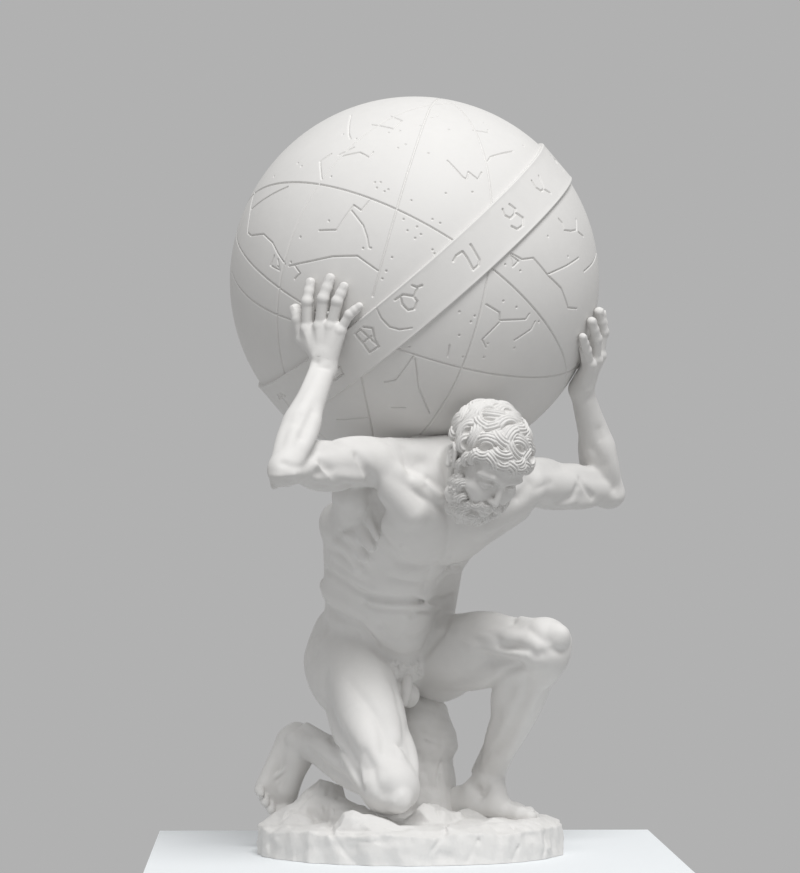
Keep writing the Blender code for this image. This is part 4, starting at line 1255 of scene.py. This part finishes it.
STARS = (
    (-21, 47), (-18, 47), (-14, 43), (-16, 42), (-20, 44), (-2, 37), (16, 41), (30, 42), (-6, 27), (-4, 21), (1, 23),
    (3, 19), (0, 17), (9, 27), (13, 25), (9, 11), (10, 9), (-12, 7), (-15, 0), (-17, -4), (70, 20), (81, 10),
    (47, 4), (55, 1), (46, -15), (53, -18), (23, -21), (31, -23), (29, -26), (23, -33), (65, -25), (52, -39),
    (38, -37), (36, -44), (-3, -39), (25, -44), (-75, 54), (-62, 60), (-60, 58), (-44, 51), (-45, 27), (-60, 19),
    (-9, 66), (-5, 68), (-14, 75), (-8, 76), (-38, 75), (-31, 72), (-72, 4), (-65, 6), (-27, 12), (-23, 12),
    (7, 63), (18, 77), (9, 84), (12, 85), (3, 79), (37, 82), (58, 70),
)
# The signs on the belt: millimetres along it and across it, from each sign's middle, and the turn of each sign in
# degrees from the side that faces front
SIGNS = (
    (5.5, (((-11.5, 7), (-6, 9), (1, 8), (0.4, 0.4), (-2.4, -11.2), (4.7, -11.4), (8.3, -8.4), (11.5, 7.8)),)),
    (-14.3, (((-13.8, 15), (-4.9, 14), (1, 7), (0.9, 1), (-5.3, -3), (-10.8, 0), (-11.4, 7.6), (-8.7, 13)),
             ((1, 6), (9, 10)), ((7, 15), (9, 11), (14, 9)))),
    (-32.3, (((-8, 14), (-1, 14), (0, 6), (2, -9), (-9, -8), (-8, 2), (-8, 13)), ((3, 14), (9, 8), (4, 0), (2, -8)),
             ((-7, 3), (3, 3)))),
    (26.5, (((-4, 11), (-7, 6), (-4, 0), (3, 0), (8, 3), (6, 10)), ((5, 0), (8, -8), (2, -13), (-6, -12), (-9, -6)))),
    (45.1, (((-7, 10), (-9, 3), (-6, -3), (0, -4), (4, -11)), ((8, 8), (3, 1), (0, -4)))),
    (71, (((-8, 9), (-8, -9)), ((-8, 0), (0, 6), (8, -2), (8, -9)), ((0, 6), (0, -9)))),
    (101, (((-10, 5), (10, 5)), ((-10, -5), (10, -5)), ((-5, 5), (-5, -5)), ((5, 5), (5, -5)))),
    (131, (((-10, -6), (-4, -6), (-6, 2), (0, 9), (6, 2), (4, -6), (10, -6)), ((-10, -11), (10, -11)))),
    (161, (((-9, -8), (8, 8)), ((1, 9), (9, 9), (9, 1)), ((-5, 1), (2, -6)))),
    (191, (((-11, 6), (-6, 1), (-1, 6), (4, 1), (9, 6)), ((-11, -3), (-6, -8), (-1, -3), (4, -8), (9, -3)))),
    (221, (((-9, 9), (-4, 0), (-9, -9)), ((9, 9), (4, 0), (9, -9)), ((-8, 0), (8, 0)))),
    (251, (((-8, 8), (-3, 3), (-3, -9)), ((-3, 3), (2, 8), (6, 2), (5, -8), (9, -5)))),
    (281, (((-9, 4), (-4, 8), (0, 3), (0, -9)), ((0, 3), (4, 8), (9, 4)))),
    (311, (((-6, -9), (-9, -2), (-3, 3), (3, 3), (9, -2), (6, -9), (-6, -9)), ((-9, 9), (-3, 3)), ((9, 9), (3, 3)))),
)
BELT_STROKE = (-23.1, (((-4, 22), (-7.3, 10), (-6.7, -1), (-1, -9), (9, -15)),))

CIRCLE_GROOVE = (1.35, 1.65)
FIGURE_GROOVE = (1.2, 1.6)
SIGN_GROOVE = (1.7, 2.0)
STAR_PIT = (1.55, 1.7)
GROOVE_SAMPLE = 0.25

belt_east = unit(np.cross((0, 0, 1), BELT_AXIS))
belt_north = np.cross(BELT_AXIS, belt_east)


def sky(right, up, side=1):
    u, v = right / 100, up / 100
    return point(u, -side * math.sqrt(max(0.0, 1 - u * u - v * v)), v)


def sampled(rows):
    """Points every quarter millimetre along straight runs between the rows, on the unit sphere."""
    points = []
    for a, b in zip(rows, rows[1:]):
        count = max(2, int(np.linalg.norm(b - a) * globe_radius / GROOVE_SAMPLE))
        run = a + np.linspace(0, 1, count, endpoint=False)[:, None] * (b - a)
        points.append(run / np.linalg.norm(run, axis=1)[:, None])
    return np.concatenate(points)


def ring_through(a, b, c, whole):
    """The circle on the sphere through three points: all of it, or from the first to the last."""
    normal = unit(np.cross(b - a, c - b))
    middle = normal * (a @ normal)
    first = a - middle
    second = np.cross(normal, first)
    turn = 2 * math.pi
    if not whole:
        turn = math.atan2((c - middle) @ second, (c - middle) @ first) % (2 * math.pi)
    angles = np.linspace(0, turn, int(turn * globe_radius / GROOVE_SAMPLE))[:, None]
    return middle + np.cos(angles) * first + np.sin(angles) * second


def on_belt(degrees, along, across):
    turn = math.radians(degrees) + along / globe_radius
    flat = belt_east * math.cos(turn) + belt_north * math.sin(turn)
    return unit(flat + BELT_AXIS * across / globe_radius)


class Engraving:
    """Grooves as close-set points on the unit sphere, each with a half width and a depth."""

    def __init__(self):
        self.points, self.sizes = [], []

    def groove(self, points, size):
        self.points.append(points)
        self.sizes.append(np.tile(size, (len(points), 1)))

    def close(self, keep, rise=0.0):
        points, sizes = np.concatenate(self.points), np.concatenate(self.sizes)
        kept = keep(points)
        self.points, self.sizes = points[kept], sizes[kept]
        self.tree = KDTree(len(self.points))
        for i, place in enumerate(self.points * (globe_radius + rise)):
            self.tree.insert(place, i)
        self.tree.balance()
        return self

    def near(self, points):
        """For each point: its distance beyond the nearest groove's edge, and how deep it is cut."""
        find = self.tree.find
        found = [find(place)[1:] for place in points]
        index = np.array([item[0] for item in found])
        distance = np.array([item[1] for item in found])
        width, depth = self.sizes[index].T
        share = np.clip(distance / width, 0, 1)
        return distance - width, depth * 0.5 * (1 + np.cos(np.pi * share))


def sky_engraving():
    cuts = Engraving()
    for rows in CIRCLES:
        cuts.groove(ring_through(*[sky(*row) for row in rows], True), CIRCLE_GROOVE)
    for rows in ARCS:
        cuts.groove(ring_through(*[sky(*row) for row in rows], False), CIRCLE_GROOVE)
    half_turn = np.array([-1, -1, 1])
    for turn in (np.ones(3), half_turn):
        for rows in FIGURES:
            cuts.groove(sampled([sky(*row) for row in rows]) * turn, FIGURE_GROOVE)
        cuts.groove(np.array([sky(*row) for row in STARS]) * turn, STAR_PIT)
    return cuts


def belt_engraving():
    cuts = Engraving()
    for degrees, strokes in SIGNS + (BELT_STROKE,):
        for rows in strokes:
            size = SIGN_GROOVE if len(strokes) > 1 or degrees > 0 else CIRCLE_GROOVE
            cuts.groove(sampled([on_belt(degrees, *row) for row in rows]), size)
    return cuts


def refine(bm, cuts, reach, pieces, onto):
    """Cuts the edges near a groove into pieces and lays the new points back on the surface."""
    bm.verts.index_update()
    gap, _ = cuts.near(np.array([vert.co for vert in bm.verts]))
    near = gap < reach
    edges = [edge for edge in bm.edges if near[edge.verts[0].index] or near[edge.verts[1].index]]
    bmesh.ops.subdivide_edges(bm, edges=edges, cuts=pieces - 1, use_grid_fill=True)
    bmesh.ops.triangulate(bm, faces=[face for face in bm.faces if len(face.verts) > 3])
    onto(bm)


def engrave(bm, cuts):
    _, depth = cuts.near(np.array([vert.co for vert in bm.verts]))
    for vert, cut in zip(bm.verts, depth):
        if cut > 0:
            vert.co *= 1 - cut / globe_radius


def onto_sphere(bm):
    for vert in bm.verts:
        vert.co = vert.co.normalized() * globe_radius


def as_object(name, bm):
    mesh = bpy.data.meshes.new(name)
    bmesh.ops.recalc_face_normals(bm, faces=bm.faces[:])
    bmesh.ops.translate(bm, verts=bm.verts[:], vec=globe_centre)
    bm.to_mesh(mesh)
    bm.free()
    obj = bpy.data.objects.new(name, mesh)
    bpy.context.scene.collection.objects.link(obj)
    return obj


def sky_half(name, side, levels):
    cuts = sky_engraving().close(lambda points: (points @ BELT_AXIS) * side * globe_radius > belt_half - 2.5)
    bm = bmesh.new()
    bmesh.ops.create_icosphere(bm, subdivisions=6, radius=globe_radius)
    everything = bm.verts[:] + bm.edges[:] + bm.faces[:]
    bmesh.ops.bisect_plane(bm, geom=everything, plane_co=(0, 0, 0), plane_no=BELT_AXIS * -side, clear_outer=True)
    onto_sphere(bm)
    for reach, pieces in levels:
        refine(bm, cuts, reach, pieces, onto_sphere)
    engrave(bm, cuts)
    bmesh.ops.holes_fill(bm, edges=[edge for edge in bm.edges if edge.is_boundary])
    bmesh.ops.triangulate(bm, faces=[face for face in bm.faces if len(face.verts) > 4])
    return as_object(name, bm)


# The belt's cross section: across, then above the globe's surface
BELT_SECTION = ((1.0, -3.0), (1.0, 0.45), (0.985, 0.8), (0.955, 1.0), (0.925, 0.96), (0.89, 0.9))
BELT_STEPS = 190
BELT_STRIPS = 8


def zodiac_belt(levels):
    cuts = belt_engraving().close(lambda points: np.ones(len(points), bool), belt_rise)
    half = [(across * belt_half, high * belt_rise) for across, high in BELT_SECTION]
    inner = [(belt_half * BELT_SECTION[-1][0] * (1 - 2 * i / BELT_STRIPS), belt_rise * BELT_SECTION[-1][1])
             for i in range(1, BELT_STRIPS)]
    outline = half + inner + [(-across, high) for across, high in reversed(half)]
    bm = bmesh.new()
    verts = [bm.verts.new(belt_east * (globe_radius + high) + BELT_AXIS * across) for across, high in outline]
    edges = [bm.edges.new(pair) for pair in zip(verts, verts[1:] + verts[:1])]
    bmesh.ops.spin(bm, geom=verts + edges, cent=(0, 0, 0), axis=BELT_AXIS, angle=2 * math.pi, steps=BELT_STEPS,
                   use_merge=True)
    bmesh.ops.triangulate(bm, faces=bm.faces[:])
    for reach, pieces in levels:
        refine(bm, cuts, reach, pieces, lambda bm: None)
    engrave(bm, cuts)
    return as_object("zodiac_belt", bm)


def number_input(group, name, value):
    socket = group.interface.new_socket(name, in_out="INPUT", socket_type="NodeSocketFloat")
    socket.default_value = value


def cast_surface():
    """Node group shared by the materials: mottled tone, darker pores, fine tooth and soft unevenness."""
    group = bpy.data.node_groups.new("cast_surface", "ShaderNodeTree")
    face = group.interface
    face.new_socket("Tint", in_out="INPUT", socket_type="NodeSocketColor")
    number_input(group, "Mottle", 0.05)
    number_input(group, "Grain", 0.3)
    number_input(group, "Waves", 0.2)
    face.new_socket("Colour", in_out="OUTPUT", socket_type="NodeSocketColor")
    face.new_socket("Roughness", in_out="OUTPUT", socket_type="NodeSocketFloat")
    face.new_socket("Normal", in_out="OUTPUT", socket_type="NodeSocketVector")
    nodes, links = group.nodes, group.links
    given = nodes.new("NodeGroupInput")
    made = nodes.new("NodeGroupOutput")
    place = nodes.new("ShaderNodeTexCoord")

    def noise(scale, detail):
        node = nodes.new("ShaderNodeTexNoise")
        node.inputs["Scale"].default_value = scale
        node.inputs["Detail"].default_value = detail
        links.new(place.outputs["Object"], node.inputs["Vector"])
        return node.outputs["Fac"]

    def combine(operation, a, b):
        node = nodes.new("ShaderNodeMath")
        node.operation = operation
        for socket, value in zip(node.inputs, (a, b)):
            if isinstance(value, float):
                socket.default_value = value
            else:
                links.new(value, socket)
        return node.outputs[0]

    clouds = combine("ADD", noise(14.0, 4.0), combine("MULTIPLY", noise(120.0, 3.0), 0.5))
    off_middle = combine("SUBTRACT", clouds, 0.75)
    shade = combine("ADD", combine("MULTIPLY", off_middle, given.outputs["Mottle"]), 1.0)
    tone = nodes.new("ShaderNodeVectorMath")
    tone.operation = "SCALE"
    links.new(given.outputs["Tint"], tone.inputs[0])
    links.new(shade, tone.inputs["Scale"])
    links.new(tone.outputs["Vector"], made.inputs["Colour"])
    links.new(combine("ADD", combine("MULTIPLY", off_middle, 0.25), 0.62), made.inputs["Roughness"])
    waves = nodes.new("ShaderNodeBump")
    waves.inputs["Distance"].default_value = 0.0012
    links.new(given.outputs["Waves"], waves.inputs["Strength"])
    links.new(noise(110.0, 2.0), waves.inputs["Height"])
    tooth = nodes.new("ShaderNodeBump")
    tooth.inputs["Distance"].default_value = 0.0003
    links.new(given.outputs["Grain"], tooth.inputs["Strength"])
    links.new(noise(1400.0, 2.0), tooth.inputs["Height"])
    links.new(waves.outputs["Normal"], tooth.inputs["Normal"])
    links.new(tooth.outputs["Normal"], made.inputs["Normal"])
    return group


def stone(name, tint, settings):
    """Matte unglazed white cast."""
    material = bpy.data.materials.new(name)
    material.use_nodes = True
    nodes, links = material.node_tree.nodes, material.node_tree.links
    surface = nodes["Principled BSDF"]
    surface.inputs["Specular IOR Level"].default_value = 0.3
    made = nodes.new("ShaderNodeGroup")
    made.node_tree = CAST
    made.inputs["Tint"].default_value = (*tint, 1)
    for key, value in settings.items():
        made.inputs[key].default_value = value
    for ours, theirs in (("Colour", "Base Color"), ("Roughness", "Roughness"), ("Normal", "Normal")):
        links.new(made.outputs[ours], surface.inputs[theirs])
    return material


# Camera, light and floor
def camera():
    data = bpy.data.cameras.new("camera")
    data.sensor_fit = "VERTICAL"
    data.sensor_height = 36
    data.lens = 164.9
    obj = bpy.data.objects.new("camera", data)
    bpy.context.scene.collection.objects.link(obj)
    obj.location = (-0.0103, -3.88, 0.3404)
    obj.rotation_euler = (math.pi / 2 + math.radians(0.92), 0, 0)
    bpy.context.scene.camera = obj


def soft_light(name, place, aim, size, power, colour):
    data = bpy.data.lights.new(name, "AREA")
    data.shape = "DISK"
    data.size = size
    data.energy = power
    data.color = colour
    obj = bpy.data.objects.new(name, data)
    bpy.context.scene.collection.objects.link(obj)
    obj.location = place
    obj.rotation_euler = (Vector(aim) - Vector(place)).to_track_quat("-Z", "Y").to_euler()


def plain(name, colour, roughness):
    material = bpy.data.materials.new(name)
    material.use_nodes = True
    surface = material.node_tree.nodes["Principled BSDF"]
    surface.inputs["Base Color"].default_value = (*colour, 1)
    surface.inputs["Roughness"].default_value = roughness
    return material


def stage_plane(name, matrix, size, material):
    bm = bmesh.new()
    bmesh.ops.create_grid(bm, x_segments=1, y_segments=1, size=size, matrix=matrix)
    mesh = bpy.data.meshes.new(name)
    bm.to_mesh(mesh)
    bm.free()
    obj = bpy.data.objects.new(name, mesh)
    bpy.context.scene.collection.objects.link(obj)
    mesh.materials.append(material)


camera()
soft_light("overhead", (0.9, -3.0, 5.6), (0, 0, 0.4), 3.0, 290, (1, 1, 1))
world = bpy.data.worlds.new("room")
bpy.context.scene.world = world
world.use_nodes = True
world.node_tree.nodes["Background"].inputs["Color"].default_value = (0.44, 0.44, 0.44, 1)
bpy.context.scene.view_settings.view_transform = "Standard"
FLOOR_SIDE = 0.505
floor_middle = Matrix.Translation((0.001, 0.010, -0.0003)) @ Matrix.Rotation(math.radians(1.6), 4, "Z")
stage_plane("floor", floor_middle, FLOOR_SIDE / 2, plain("pale_floor", (0.86, 0.89, 0.91), 0.7))

CAST = cast_surface()
WHITE = (0.74, 0.73, 0.715)
white = stone("white_cast", WHITE, {"Mottle": 0.10, "Grain": 0.35, "Waves": 0.10})
rough_white = stone("rough_white_cast", WHITE, {"Mottle": 0.14, "Grain": 0.6, "Waves": 0.45})
globe_white = stone("globe_white_cast", WHITE, {"Mottle": 0.08, "Grain": 0.35, "Waves": 0.05})


def place(obj, nodes, slot, material):
    obj.data.materials.clear()
    obj.data.materials.append(material)
    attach(obj, "root")
    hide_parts(*nodes)


whole_form = body()
whole = carve("whole", whole_form, BODY_VOXEL, BODY_TRIANGLES)
LIMB_ENDS = {
    "right_hand": (WRIST_R, unit(WRIST_R - ELBOW_R), hand(WRIST_R, RIGHT_HAND), WRIST_R, 75),
    "left_hand": (WRIST_L, unit(WRIST_L - ELBOW_L), hand(WRIST_L, LEFT_HAND), WRIST_L, 75),
    "right_foot": (ANKLE_R - unit(ANKLE_R - KNEE_R) * 4, unit(ANKLE_R - KNEE_R), right_foot(), (-118, 80, 78), 75),
    "left_foot": (ANKLE_L - unit(ANKLE_L - KNEE_L) * 4, unit(ANKLE_L - KNEE_L), left_foot(), (98, -10, 45), 85),
}
waist = PELVIS.at(0, 0, 79)
waist_way = unit(PELVIS.up + PELVIS.left * 0.12)
for name, (place_at, way, form, centre, reach) in LIMB_ENDS.items():
    end = carve(name + "_block", whole_form, HAND_VOXEL, HAND_TRIANGLES * 1.4, form)
    piece = share_of(end.data, name, place_at, way, lambda ahead, middles: ahead)
    bpy.data.objects.remove(end)
    thin_out(piece, HAND_TRIANGLES)
    finish_mesh(piece)
    place(piece, ["atlas_and_rock"], "white_bisque", white)
    rest = share_of(whole.data, "whole", place_at, way,
                    lambda ahead, middles: ~(ahead & within(middles, centre, reach)))
    bpy.data.objects.remove(whole)
    whole = rest
for name, side in (("torso_and_arms", 1), ("hips_and_legs", -1)):
    def owned(ahead, middles, side=side):
        upper = ahead & ~within(middles, KNEE_L, 75)
        return upper if side > 0 else ~upper
    piece = share_of(whole.data, name, waist, waist_way, owned)
    finish_mesh(piece)
    place(piece, ["atlas_and_rock"], "white_bisque", white)
bpy.data.objects.remove(whole)
bearded = carve("bearded_head", head(), HEAD_VOXEL, HEAD_TRIANGLES)
finish_mesh(bearded)
place(bearded, ["atlas_and_rock"], "white_bisque", white)
ground = carve("chipped_rock", rock(), ROCK_VOXEL, ROCK_TRIANGLES)
finish_mesh(ground, level=True)
place(ground, ["atlas_and_rock"], "white_bisque", rough_white)
levels = (((7.5, 3), (2.2, 2), (0.25, 2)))
for name, side in (("sky_above_belt", 1), ("sky_below_belt", -1)):
    shell = sky_half(name, side, levels)
    finish_mesh(shell)
    place(shell, ["celestial_globe"], "white_bisque_globe", globe_white)
levels = (((10, 3), (3, 2), (0.5, 2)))
belt = zodiac_belt(levels)
finish_mesh(belt)
place(belt, ["celestial_globe"], "white_bisque_globe", globe_white)
